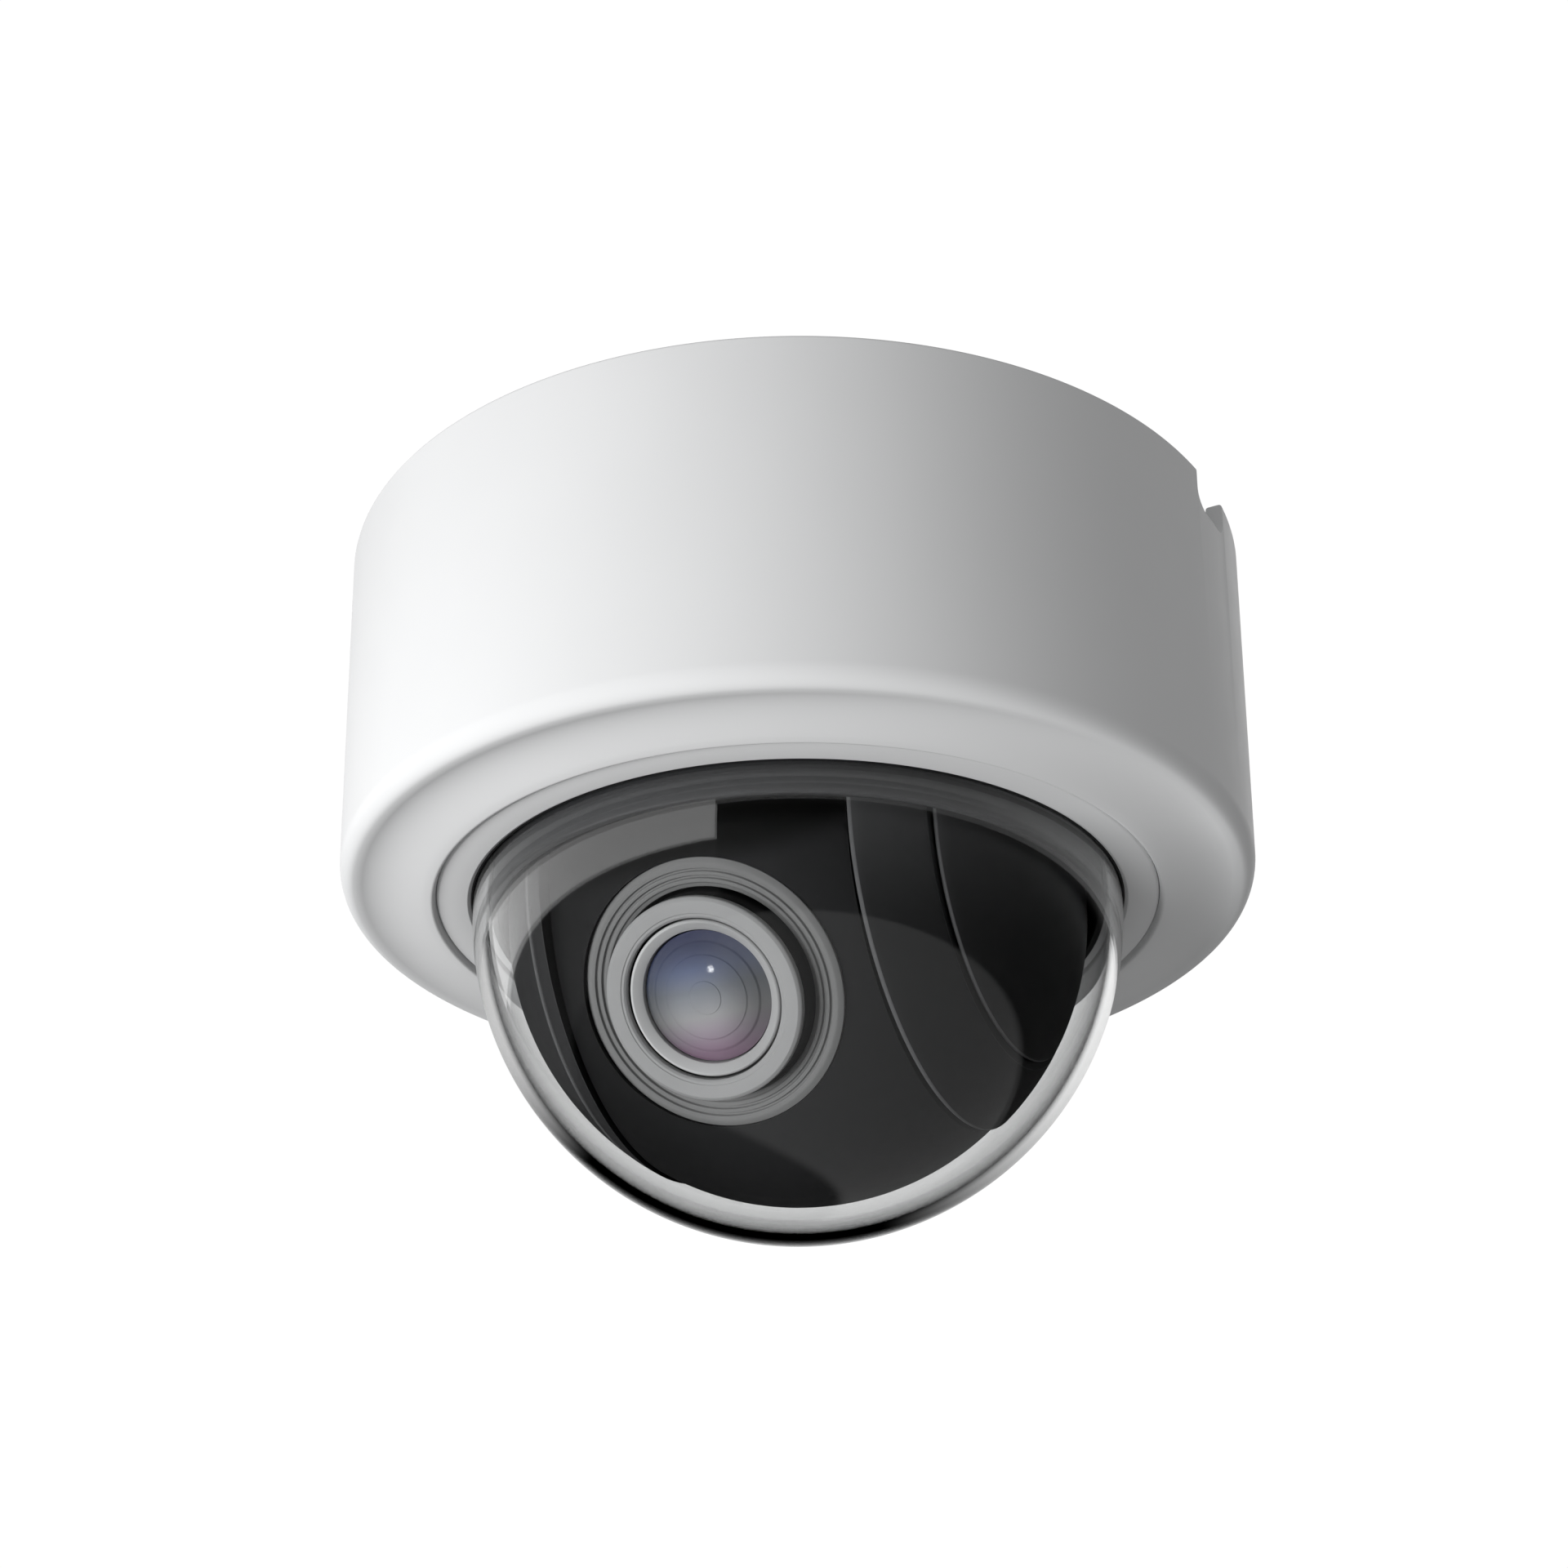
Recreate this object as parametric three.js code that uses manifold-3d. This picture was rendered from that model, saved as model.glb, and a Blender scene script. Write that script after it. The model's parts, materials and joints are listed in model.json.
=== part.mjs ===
// Ceiling-mounted pan-tilt dome camera: a shallow drum housing with a clear bubble below it and
// a camera ball that pans on a turntable and tilts in a fork. Millimetres, +Z up. The origin is
// the centre of the face that meets the ceiling, and everything hangs below it. The lens faces
// -Y and a little to -X at rest.
import * as THREE from 'three';
import { mergeVertices } from 'three/addons/utils/BufferGeometryUtils.js';
import Module from 'manifold-3d';

const wasm = await Module();
wasm.setup();

// ---- Driving dimensions ----
const GAP = 0.3;                    // between pieces that touch
const SIDES = 40;                   // facets of the large round pieces

const RIM_Z = -1.2;                 // the housing's top rim
const RIM_R = 65.5;
const WALL_R = 64.4;                // the wall where its lower fillet starts
const HOUSING_HEIGHT = 51.1;
const WALL = 2.4;
const FILLET_WIDE = 2.1;
const FILLET_HIGH = 6.8;
const FACE_Z = RIM_Z - HOUSING_HEIGHT;
const STEP_R = 51.2;                // the step round the bubble's ring
const STEP_DROP = 1.7;

const NOTCH_ANGLE = -26.6;          // the cable notch in the rim
const NOTCH_WIDE = 10.4;
const NOTCH_DEEP = 6.1;
const NOTCH_ROUND = 3;

const BUBBLE_R = 45.7;
const BUBBLE_WALL = 1.8;
const BUBBLE_Z = FACE_Z - 2;        // the bubble's centre
const RING_R = BUBBLE_R + GAP;
const FLANGE_R = 51;
const FLANGE_Z = -47.2;             // underside of the bubble's flange

const LINER_R = 43.2;
const LINER_WALL = 1.2;
const LINER_LOW = FACE_Z - 4.5;
const LINER_TOP = -30;

const PLATE_R = 56;                 // the mounting plate on the ceiling
const PLATE_T = 2;
const PLATE_HOLE = [34, -17, 11];   // x, y, radius of its cable hole
const CHASSIS_R = 60.4;
const CHASSIS_TOP = -8.6;
const CHASSIS_T = 2;
const BOSS_R = 16;
const BOSS_LOW = -17.2;
const GLAND = [40, -20, 8];         // x, y, radius of the cable gland
const GLAND_BORE = 4.2;
const POST_RING = 45;
const SCREW_RING = 56.3;

const BOARD_TOP = -13;              // the main board, a disc cut straight along one side
const BOARD_T = 1.6;
const BOARD_EDGE = 18.5;
const BOARD_R = 52;
const STANDOFFS = [[-24, 38], [-24, -38]];
const BUTTON = [-36, 17];           // the reset button

const HUB_R = 9;
const HUB_BORE = 5.5;
const HUB_TOP = -6;
const TURNTABLE_R = 37;
const TURNTABLE_TOP = -25.2;
const TURNTABLE_LOW = -27.6;
const PAN_MODULE = 1.2;
const PAN_TEETH = 40;
const PAN_PINION_TEETH = 10;
const PAN_GEAR_LOW = -24.4;
const PAN_GEAR_T = 3;
const BACKLASH = 0.1;               // added to the distance between two gears
const PAN_CENTRES = PAN_MODULE * (PAN_TEETH + PAN_PINION_TEETH) / 2 + BACKLASH;
const MOTOR_R = 10;
const MOTOR_LOW = -20;
const BEARING_Z = [-16.6, -10.9];   // the pan bearing
const BEARING_SPLIT = [11.1, 11.6];
const BEARING_OUTER = 13;

const PAN_REST = -25.5;             // how far the head is turned at rest
const TILT_REST = 36.6;             // how far the lens looks below the horizontal at rest
const TILT_Z = BUBBLE_Z - 1.5;      // the tilt axis
const CHEEK_R = 40.7;
const CHEEK_WALL = 2;
const FORK_TOP = TURNTABLE_LOW - GAP;
const LEFT_ARM = [-23.9, -21.4];    // across the head, along the tilt axis
const RIGHT_ARM = [22.7, 30.9];
const RIGHT_WEB = [26, 28];
const SHAFT_R = 2.4;
const BEARING_R = 5;
const TILT_MODULE = 0.8;
const TILT_TEETH = 24;
const TILT_PINION_TEETH = 8;
const TILT_GEAR_X = [22.8, 24.6];
const TILT_CENTRES = TILT_MODULE * (TILT_TEETH + TILT_PINION_TEETH) / 2 + BACKLASH;
const TILT_MOTOR_R = 5.5;

const BALL_R = 38.9;
const BALL_WALL = 1.8;
const BALL_SIDES = [-20.8, 22.2];
const BALL_TOP = 26;                // the ball is cut flat above the lens and behind it
const BALL_BACK = 24;
const BALL_BEVEL = 34;
const BALL_SPLIT = -6;
const LENS_X = 1.1;
const BEZEL_R = 17.5;
const BARREL_R = 13.4;
const BARREL_BORE = 11;
const BARREL_FRONT = 36.6;
const FRONT_RING_R = 10.3;
const GROUP_R = 10.6;               // the zoom and focus groups

const WHITE = new THREE.MeshStandardMaterial({ color: 0xe4e5e6, roughness: 0.42, metalness: 0 });
const CLEAR = new THREE.MeshStandardMaterial({
  color: 0xc8ccd0, roughness: 0.03, metalness: 0, transparent: true, opacity: 0.3,
});
const CHARCOAL = new THREE.MeshStandardMaterial({ color: 0x26272a, roughness: 0.4, metalness: 0 });
const LINER = new THREE.MeshStandardMaterial({ color: 0x3a3b3d, roughness: 0.5, metalness: 0 });
const GREY = new THREE.MeshStandardMaterial({ color: 0x4c4d50, roughness: 0.4, metalness: 0 });
const SILVER = new THREE.MeshStandardMaterial({ color: 0xb4b5b8, roughness: 0.3, metalness: 0.6 });
const BLACK = new THREE.MeshStandardMaterial({ color: 0x0c0c0e, roughness: 0.35, metalness: 0 });
const GLASS = new THREE.MeshStandardMaterial({
  color: 0x9aa6b8, roughness: 0.02, metalness: 0, transparent: true, opacity: 0.4,
});
const RUBBER = new THREE.MeshStandardMaterial({ color: 0x161618, roughness: 0.8, metalness: 0 });
const STEEL = new THREE.MeshStandardMaterial({ color: 0xaeb0b3, roughness: 0.35, metalness: 0.9 });
const ALUMINIUM = new THREE.MeshStandardMaterial({ color: 0xc2c4c7, roughness: 0.4, metalness: 0.9 });
const NYLON = new THREE.MeshStandardMaterial({ color: 0xe6e2d6, roughness: 0.5, metalness: 0 });
const BOARD = new THREE.MeshStandardMaterial({ color: 0x12502e, roughness: 0.5, metalness: 0 });

const radians = THREE.MathUtils.degToRad;

// ---- Closed solids and their cuts ----

// Keeps only the triangles with three different corners, facing outwards.
function outwardTriangles(geometry) {
  const corners = [];
  const index = geometry.index.array;
  for (let i = 0; i < index.length; i += 3) {
    const triangle = [index[i], index[i + 1], index[i + 2]];
    if (new Set(triangle).size === 3) corners.push(...triangle);
  }
  const point = (i) => new THREE.Vector3().fromBufferAttribute(geometry.attributes.position, i);
  let volume = 0;
  for (let i = 0; i < corners.length; i += 3) {
    const cross = point(corners[i + 1]).cross(point(corners[i + 2]));
    volume += point(corners[i]).dot(cross);
  }
  return volume < 0 ? corners.reverse() : corners;
}

function solid(geometry) {
  const bare = geometry.clone();
  bare.deleteAttribute('normal');
  bare.deleteAttribute('uv');
  const merged = mergeVertices(bare, 1e-4);
  return new wasm.Manifold(new wasm.Mesh({
    numProp: 3,
    vertProperties: new Float32Array(merged.attributes.position.array),
    triVerts: new Uint32Array(outwardTriangles(merged)),
  }));
}

function join(first, ...others) {
  return others.reduce((whole, other) => whole.add(other), first);
}

function cut(first, ...others) {
  return others.reduce((whole, other) => whole.subtract(other), first);
}

function toGeometry(body) {
  const mesh = body.getMesh();
  const geometry = new THREE.BufferGeometry();
  geometry.setAttribute('position', new THREE.BufferAttribute(mesh.vertProperties, 3));
  geometry.setIndex(new THREE.BufferAttribute(mesh.triVerts, 1));
  geometry.computeVertexNormals();
  return geometry;
}

function piece(parent, name, body, material) {
  const mesh = new THREE.Mesh(toGeometry(body), material);
  mesh.name = name;
  parent.add(mesh);
}

// ---- Basic shapes ----

function lathe(profile, sides) {
  return new THREE.LatheGeometry(profile.map(([r, h]) => new THREE.Vector2(r, h)), sides);
}

// A ring's outline, closed on itself.
function loop(profile) {
  return [...profile, profile[0]];
}

// Turned about the vertical axis through (x, y): points are [radius, z].
function turned(profile, sides = SIDES, x = 0, y = 0) {
  return solid(lathe(profile, sides).rotateX(Math.PI / 2).translate(x, y, 0));
}

// Turned about an axis along X at height z: points are [radius, x].
function turnedX(profile, sides, z = 0) {
  return solid(lathe(profile, sides).rotateZ(-Math.PI / 2).translate(0, 0, z));
}

// Turned about the lens axis, in the ball's own frame: points are [radius, distance forwards].
function turnedLens(profile, sides) {
  const forwards = profile.map(([r, u]) => [r, -u]);
  return solid(lathe(forwards, sides).translate(LENS_X, 0, 0));
}

function rod(radius, z0, z1, x = 0, y = 0, sides = 16) {
  return turned([[0, z0], [radius, z0], [radius, z1], [0, z1]], sides, x, y);
}

function rodX(radius, x0, x1, z, sides = 16) {
  return turnedX([[0, x0], [radius, x0], [radius, x1], [0, x1]], sides, z);
}

function ring(inner, outer, z0, z1, sides, x = 0, y = 0) {
  return turned(loop([[inner, z0], [outer, z0], [outer, z1], [inner, z1]]), sides, x, y);
}

function ringX(inner, outer, x0, x1, z, sides = 20) {
  return turnedX(loop([[inner, x0], [outer, x0], [outer, x1], [inner, x1]]), sides, z);
}

function ringLens(inner, outer, u0, u1, sides = 32) {
  return turnedLens(loop([[inner, u0], [outer, u0], [outer, u1], [inner, u1]]), sides);
}

function block(x, y, z) {
  const size = [x[1] - x[0], y[1] - y[0], z[1] - z[0]];
  const middle = [(x[0] + x[1]) / 2, (y[0] + y[1]) / 2, (z[0] + z[1]) / 2];
  return solid(new THREE.BoxGeometry(...size).translate(...middle));
}

// A block in the ball's own frame, where forwards is -Y.
function lensBlock(x, forwards, z) {
  return block(x, [-forwards[1], -forwards[0]], z);
}

function extruded(shape, depth, curveSegments = 6) {
  return new THREE.ExtrudeGeometry(shape, { depth, bevelEnabled: false, curveSegments });
}

// Points on a circular arc in a turned profile, centred on the axis.
function arc(radius, centre, from, to, steps) {
  return Array.from({ length: steps + 1 }, (_, i) => {
    const angle = radians(from + (to - from) * i / steps);
    return [radius * Math.cos(angle), centre + radius * Math.sin(angle)];
  });
}

// A sphere's outline between two places along its axis, centred on zero.
function sphereBand(radius, from, to, steps) {
  const start = THREE.MathUtils.radToDeg(Math.asin(from / radius));
  const end = THREE.MathUtils.radToDeg(Math.asin(to / radius));
  return arc(radius, 0, start, end, steps);
}

// Puts the points that lie on the axis, but for rounding, exactly on it.
function onAxis(profile) {
  return profile.map(([r, h]) => [r < 1e-6 ? 0 : r, h]);
}

function around(count, first, radius) {
  return Array.from({ length: count }, (_, i) => {
    const angle = radians(first + 360 * i / count);
    return [radius * Math.cos(angle), radius * Math.sin(angle)];
  });
}

// A spur gear's outline with straight-sided teeth. The first tooth, or the first gap, is at
// angle zero.
function gearShape(module, teeth, bore, gapFirst) {
  const pitch = module * teeth / 2;
  const step = 2 * Math.PI / teeth;
  const root = pitch - 1.0 * module;
  const tip = pitch + 0.8 * module;
  const shape = new THREE.Shape();
  const corners = [[root, -0.29], [tip, -0.11], [tip, 0.11], [root, 0.29]];
  for (let tooth = 0; tooth < teeth; tooth += 1) {
    for (const [radius, share] of corners) {
      const angle = (tooth + share + (gapFirst ? 0.5 : 0)) * step;
      const x = radius * Math.cos(angle);
      const y = radius * Math.sin(angle);
      if (tooth === 0 && share === -0.29) shape.moveTo(x, y);
      else shape.lineTo(x, y);
    }
  }
  shape.closePath();
  if (bore > 0) shape.holes.push(new THREE.Path().absarc(0, 0, bore, 0, 2 * Math.PI, true));
  return shape;
}

// ---- The fixed body: plate, chassis, housing and bubble ----

function mountingPlate() {
  const [x, y, radius] = PLATE_HOLE;
  const holes = [rod(radius, -PLATE_T - 1, 1, x, y, 24)];
  for (const [sx, sy] of around(3, 70, 36)) {
    holes.push(rod(2.4, -PLATE_T - 1, 1, sx, sy, 12));
  }
  return cut(rod(PLATE_R, -PLATE_T, 0, 0, 0, SIDES), ...holes);
}

function chassisPlate() {
  const low = CHASSIS_TOP - CHASSIS_T;
  const inner = HUB_R + 2 * GAP;
  const seat = BOSS_R - 2.7;
  const disc = turned(loop([
    [inner, CHASSIS_TOP], [CHASSIS_R, CHASSIS_TOP], [CHASSIS_R, low], [BOSS_R, low],
    [BOSS_R, BOSS_LOW], [seat, BOSS_LOW], [seat, low], [inner, low],
  ]));
  const holes = [rod(GLAND[2] + GAP, low - 1, CHASSIS_TOP + 1, GLAND[0], GLAND[1], 20)];
  for (const [x, y] of around(3, 0, SCREW_RING)) {
    holes.push(rod(1.8, low - 1, CHASSIS_TOP + 1, x, y, 12));
  }
  return cut(disc, ...holes);
}

function cableGland() {
  const [x, y, radius] = GLAND;
  const low = CHASSIS_TOP - CHASSIS_T - 2;
  const seat = CHASSIS_TOP + GAP;
  return turned(loop([
    [GLAND_BORE, low], [radius, low], [radius, seat], [radius + 2.5, seat],
    [radius + 2.5, seat + 1.4], [GLAND_BORE, seat + 1.4],
  ]), 20, x, y);
}

// The lower face starts level at the fillet and curves down towards the step.
function lowerFace(steps) {
  const outer = WALL_R - FILLET_WIDE - 0.7;
  return Array.from({ length: steps + 1 }, (_, i) => {
    const share = i / steps;
    return [outer + (STEP_R - outer) * share, FACE_Z - STEP_DROP * share ** 1.6];
  });
}

function wallFillet(steps) {
  return Array.from({ length: steps + 1 }, (_, i) => {
    const angle = radians(90 * i / steps);
    return [
      WALL_R - FILLET_WIDE * (1 - Math.cos(angle)),
      FACE_Z + FILLET_HIGH * (1 - Math.sin(angle)),
    ];
  });
}

function cableNotch() {
  const half = NOTCH_WIDE / 2;
  const low = RIM_Z - NOTCH_DEEP;
  const shape = new THREE.Shape();
  shape.moveTo(-half, 2);
  shape.lineTo(-half, low + NOTCH_ROUND);
  shape.absarc(NOTCH_ROUND - half, low + NOTCH_ROUND, NOTCH_ROUND, Math.PI, 1.5 * Math.PI, false);
  shape.absarc(half - NOTCH_ROUND, low + NOTCH_ROUND, NOTCH_ROUND, -0.5 * Math.PI, 0, false);
  shape.lineTo(half, 2);
  shape.closePath();
  const along = extruded(shape, 12).rotateX(Math.PI / 2).rotateZ(Math.PI / 2);
  return solid(along.translate(RIM_R - 6, 0, 0).rotateZ(radians(NOTCH_ANGLE)));
}

function housingShell() {
  const lip = STEP_R - 0.3;
  const floor = FACE_Z + 1.9;
  const body = turned(loop([
    [RIM_R, RIM_Z], ...wallFillet(3), ...lowerFace(3),
    [lip, FACE_Z - 0.6], [lip, floor], [52.8, floor], [58, floor + 0.6],
    [WALL_R - WALL - 1.2, floor + 0.9], [WALL_R - WALL, FACE_Z + FILLET_HIGH],
    [RIM_R - WALL, RIM_Z],
  ]));
  const top = CHASSIS_TOP - CHASSIS_T - GAP;
  const bosses = around(3, 0, SCREW_RING).map(([x, y]) => rod(3.4, floor, top, x, y, 12));
  const holes = around(3, 0, SCREW_RING).map(([x, y]) => rod(1.7, top - 8, top + 1, x, y, 12));
  return cut(join(body, ...bosses), ...holes, cableNotch());
}

function bubbleRing() {
  const outer = STEP_R - 0.6;
  const low = FACE_Z - 1.05;
  const seat = FLANGE_Z - 1.4;
  return turned(loop([
    [RING_R, low + 0.2], [RING_R + 0.5, low - 0.1], [RING_R + 2.6, low + 0.15],
    [outer, FACE_Z - 0.5], [outer, seat - 1.5], [52.4, seat - 1.5], [52.4, seat], [RING_R, seat],
  ]));
}

function domeBubble() {
  const inner = BUBBLE_R - BUBBLE_WALL;
  const top = FLANGE_Z + 1.6;
  return turned(onAxis([
    ...arc(BUBBLE_R, BUBBLE_Z, -90, 0, 8),
    [BUBBLE_R, FLANGE_Z], [FLANGE_R, FLANGE_Z], [FLANGE_R, top], [inner, top],
    ...arc(inner, BUBBLE_Z, 0, -90, 7),
  ]));
}

function linerRing() {
  const inner = LINER_R - LINER_WALL;
  const seat = FLANGE_Z + 1.6 + GAP;
  return turned(loop([
    [inner, LINER_LOW], [LINER_R, LINER_LOW], [LINER_R, seat], [FLANGE_R, seat],
    [FLANGE_R, seat + 1.3], [LINER_R, seat + 1.3], [LINER_R, LINER_TOP], [inner, LINER_TOP],
  ]));
}

function shellScrew(x, y) {
  const seat = CHASSIS_TOP + GAP;
  const screw = turned([[0, -17], [1.3, -17], [1.3, seat], [2.6, seat], [2.6, seat + 1.6],
    [0, seat + 1.6]], 12, x, y);
  return cut(screw, block([x - 2, x + 2], [y - 0.4, y + 0.4], [seat + 0.9, seat + 2]));
}

// ---- Electronics in the fixed body ----

function mainBoard() {
  const angle = Math.acos(-BOARD_EDGE / BOARD_R);
  const shape = new THREE.Shape();
  shape.absarc(0, 0, BOARD_R, angle, 2 * Math.PI - angle, false);
  shape.closePath();
  return solid(extruded(shape, BOARD_T, 16).translate(0, 0, BOARD_TOP - BOARD_T));
}

function cardSlot() {
  const low = CHASSIS_TOP + GAP;
  const body = block([-43, -29], [-25, -11], [low, low + 2.6]);
  const mouth = block([-44, -31], [-23.6, -12.4], [low + 0.7, low + 1.8]);
  return cut(body, mouth);
}

function resetSwitch() {
  const [x, y] = BUTTON;
  const low = CHASSIS_TOP + GAP;
  const body = block([x - 3.1, x + 3.1], [y - 3.1, y + 3.1], [low, low + 2]);
  return cut(body, rod(1.9, low + 0.8, low + 3, x, y, 12));
}

function resetButton() {
  return rod(1.6, CHASSIS_TOP + GAP + 1.4, CHASSIS_TOP + GAP + 3.2, BUTTON[0], BUTTON[1], 12);
}

function panMotor() {
  const top = CHASSIS_TOP - CHASSIS_T - GAP;
  const can = rod(MOTOR_R, MOTOR_LOW, top, PAN_CENTRES, 0, 24);
  const ears = block([PAN_CENTRES - 3.5, PAN_CENTRES + 3.5], [-15, 15], [top - 1, top]);
  return join(can, ears);
}

// ---- The panning head ----

function turntable() {
  return turned(loop([
    [HUB_BORE, TURNTABLE_LOW], [TURNTABLE_R, TURNTABLE_LOW], [TURNTABLE_R, TURNTABLE_TOP],
    [HUB_R, TURNTABLE_TOP], [HUB_R, HUB_TOP], [HUB_BORE, HUB_TOP],
  ]), 32);
}

function panGear() {
  const shape = gearShape(PAN_MODULE, PAN_TEETH, HUB_R + 2 * GAP, false);
  return solid(extruded(shape, PAN_GEAR_T, 12).translate(0, 0, PAN_GEAR_LOW));
}

function panPinion() {
  const shape = gearShape(PAN_MODULE, PAN_PINION_TEETH, 0, true);
  // The gap, not a tooth, faces the large gear at rest.
  const wheel = extruded(shape, PAN_GEAR_T).rotateZ(Math.PI).translate(PAN_CENTRES, 0, PAN_GEAR_LOW);
  const shaft = rod(1.2, PAN_GEAR_LOW + 1, MOTOR_LOW - GAP, PAN_CENTRES, 0, 12);
  return join(solid(wheel), shaft);
}

// Everything of the fork above its flat top is taken away.
function underFork(body) {
  return cut(body, block([-60, 60], [-60, 60], [FORK_TOP, 20]));
}

function leftForkArm() {
  const [outer, inner] = LEFT_ARM;
  const profile = [
    [0, inner - 0.4], [30, inner - 0.4], [31.5, inner],
    ...sphereBand(CHEEK_R, inner, outer, 2), [0, outer],
  ];
  const disc = turnedX(profile, 32, BUBBLE_Z);
  return cut(underFork(disc), rodX(BEARING_R + GAP, -30, -15, TILT_Z, 20));
}

function rightForkArm() {
  const [inner, outer] = RIGHT_ARM;
  const inside = CHEEK_R - CHEEK_WALL;
  const at = (x) => Math.sqrt(inside ** 2 - x ** 2);
  const profile = [
    [0, RIGHT_WEB[0]], [at(RIGHT_WEB[0]), RIGHT_WEB[0]], [at(inner), inner],
    ...sphereBand(CHEEK_R, inner, outer, 3),
    [at(outer), outer], [at(RIGHT_WEB[1]), RIGHT_WEB[1]], [0, RIGHT_WEB[1]],
  ];
  const cup = turnedX(profile, 32, BUBBLE_Z);
  const bearing = rodX(BEARING_R + GAP, 20, 35, TILT_Z, 20);
  const pinion = rodX(1.6, 20, 35, TILT_Z + TILT_CENTRES, 12);
  return cut(underFork(cup), bearing, pinion);
}

function sideCover(edge) {
  const inside = CHEEK_R - CHEEK_WALL;
  return loop(onAxis([
    ...sphereBand(CHEEK_R, edge, CHEEK_R, 5), ...sphereBand(inside, inside, edge, 4),
  ]));
}

function rightSideCover() {
  return turnedX(sideCover(RIGHT_ARM[1] + GAP), 32, BUBBLE_Z);
}

function leftSideCover() {
  const mirrored = sideCover(-LEFT_ARM[0] + GAP).map(([r, h]) => [r, -h]);
  return underFork(turnedX(mirrored, 32, BUBBLE_Z));
}

function tiltMotor() {
  const start = RIGHT_WEB[1] + GAP + 0.1;
  return rodX(TILT_MOTOR_R, start, 33.5, TILT_Z + TILT_CENTRES, 20);
}

// Extruded outlines of the tilt gears lie across the head, teeth meeting straight above the axis.
function acrossHead(shape, depth, x) {
  return extruded(shape, depth).rotateY(Math.PI / 2).translate(x, 0, 0);
}

function tiltPinion() {
  const depth = TILT_GEAR_X[1] - TILT_GEAR_X[0];
  const shape = gearShape(TILT_MODULE, TILT_PINION_TEETH, 0, true);
  const wheel = acrossHead(shape, depth, TILT_GEAR_X[0]);
  const height = TILT_Z + TILT_CENTRES;
  const shaft = rodX(1, TILT_GEAR_X[0] + 0.5, RIGHT_WEB[1] + GAP - 0.2, height, 12);
  return join(solid(wheel.translate(0, 0, height)), shaft);
}

// ---- The tilting ball, in its own frame: X across, -Y forwards, origin on the tilt axis ----

function ballBlank(radius, sides, top, back, bevel, steps) {
  const [left, right] = sides;
  const profile = [[0, left], ...sphereBand(radius, left, right, steps), [0, right]];
  const barrel = turnedX(profile, 36);
  const corner = new THREE.BoxGeometry(90, 60, 60).translate(0, 0, 30);
  corner.rotateX(-Math.PI / 4).translate(0, bevel / 2, bevel / 2);
  return cut(
    barrel,
    block([-50, 50], [-50, 50], [top, 50]),
    block([-50, 50], [back, 50], [-50, 50]),
    solid(corner),
  );
}

function ballShell() {
  const [left, right] = BALL_SIDES;
  const outer = ballBlank(BALL_R, BALL_SIDES, BALL_TOP, BALL_BACK, BALL_BEVEL, 6);
  const inner = ballBlank(
    BALL_R - BALL_WALL, [left + BALL_WALL, right - BALL_WALL],
    BALL_TOP - BALL_WALL, BALL_BACK - BALL_WALL, BALL_BEVEL - BALL_WALL * Math.SQRT2, 4,
  );
  return cut(outer, inner, rodX(SHAFT_R + 0.5, -30, 30, 0, 16));
}

function ballFrontShell(shell) {
  const front = shell.intersect(lensBlock([-50, 50], [BALL_SPLIT, 50], [-50, 50]));
  const lensHole = turnedLens([[0, 20], [BEZEL_R + GAP, 20], [BEZEL_R + GAP, 45], [0, 45]], 28);
  return cut(front, lensHole);
}

function ballRearShell(shell) {
  return shell.intersect(lensBlock([-50, 50], [-50, BALL_SPLIT - GAP], [-50, 50]));
}

function tiltFrame() {
  const seat = BARREL_R + GAP;
  const collar = ringLens(seat, 16.7, -3, 3, 24);
  const bore = turnedLens([[0, -5], [seat, -5], [seat, 5], [0, 5]], 24);
  const lugs = [
    lensBlock([-18.6, -12], [-3, 3], [-4, 4]),
    lensBlock([15, 20.1], [-3, 3], [-4, 4]),
  ];
  const holes = [rodX(SHAFT_R + GAP, -25, -15, 0, 16), rodX(SHAFT_R + GAP, 18, 25, 0, 16)];
  return cut(join(collar, ...lugs), bore, ...holes);
}

function tiltGear() {
  const depth = TILT_GEAR_X[1] - TILT_GEAR_X[0];
  const shape = gearShape(TILT_MODULE, TILT_TEETH, SHAFT_R + 2 * GAP, false);
  // Turned back by the rest tilt, so that a tooth stands straight up at rest.
  return solid(acrossHead(shape, depth, TILT_GEAR_X[0]).rotateX(-radians(TILT_REST)));
}

function lensBarrel() {
  const seat = FRONT_RING_R + GAP;
  return turnedLens(loop([
    [9.5, -13], [BARREL_R, -13], [BARREL_R, BARREL_FRONT], [seat, BARREL_FRONT], [seat, 30.9],
    [BARREL_BORE, 30.9], [BARREL_BORE, -11], [9.5, -11],
  ]), 24);
}

function frontLens() {
  return turnedLens([
    [0, 31.4], [8.8, 31.4], [8.8, 33.4], [7.4, 34.4], [5.2, 35.2], [2.7, 35.7], [0, 35.9],
  ], 24);
}

function lensFrontRing() {
  return turnedLens(loop([
    [9.1, 31.2], [FRONT_RING_R, 31.2], [FRONT_RING_R, 37.2], [10.0, 37.5], [9.8, 37.5], [9.1, 34.6],
  ]), 24);
}

function lensTrimRing() {
  const low = BARREL_FRONT + GAP;
  const inner = FRONT_RING_R + GAP;
  return turnedLens(loop([
    [inner, low], [BARREL_R, low], [BARREL_R, low + 0.8], [BARREL_R - 0.5, low + 1.2],
    [inner, low + 1.1],
  ]), 24);
}

function lensBezel() {
  const inner = BARREL_R + GAP + 0.2;
  return turnedLens(loop([
    [inner, 31.4], [BEZEL_R, 31.4], [BEZEL_R, 34.2], [BEZEL_R - 0.6, 34.8], [inner + 0.4, 34.6],
    [inner, 34.3],
  ]), 28);
}

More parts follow.
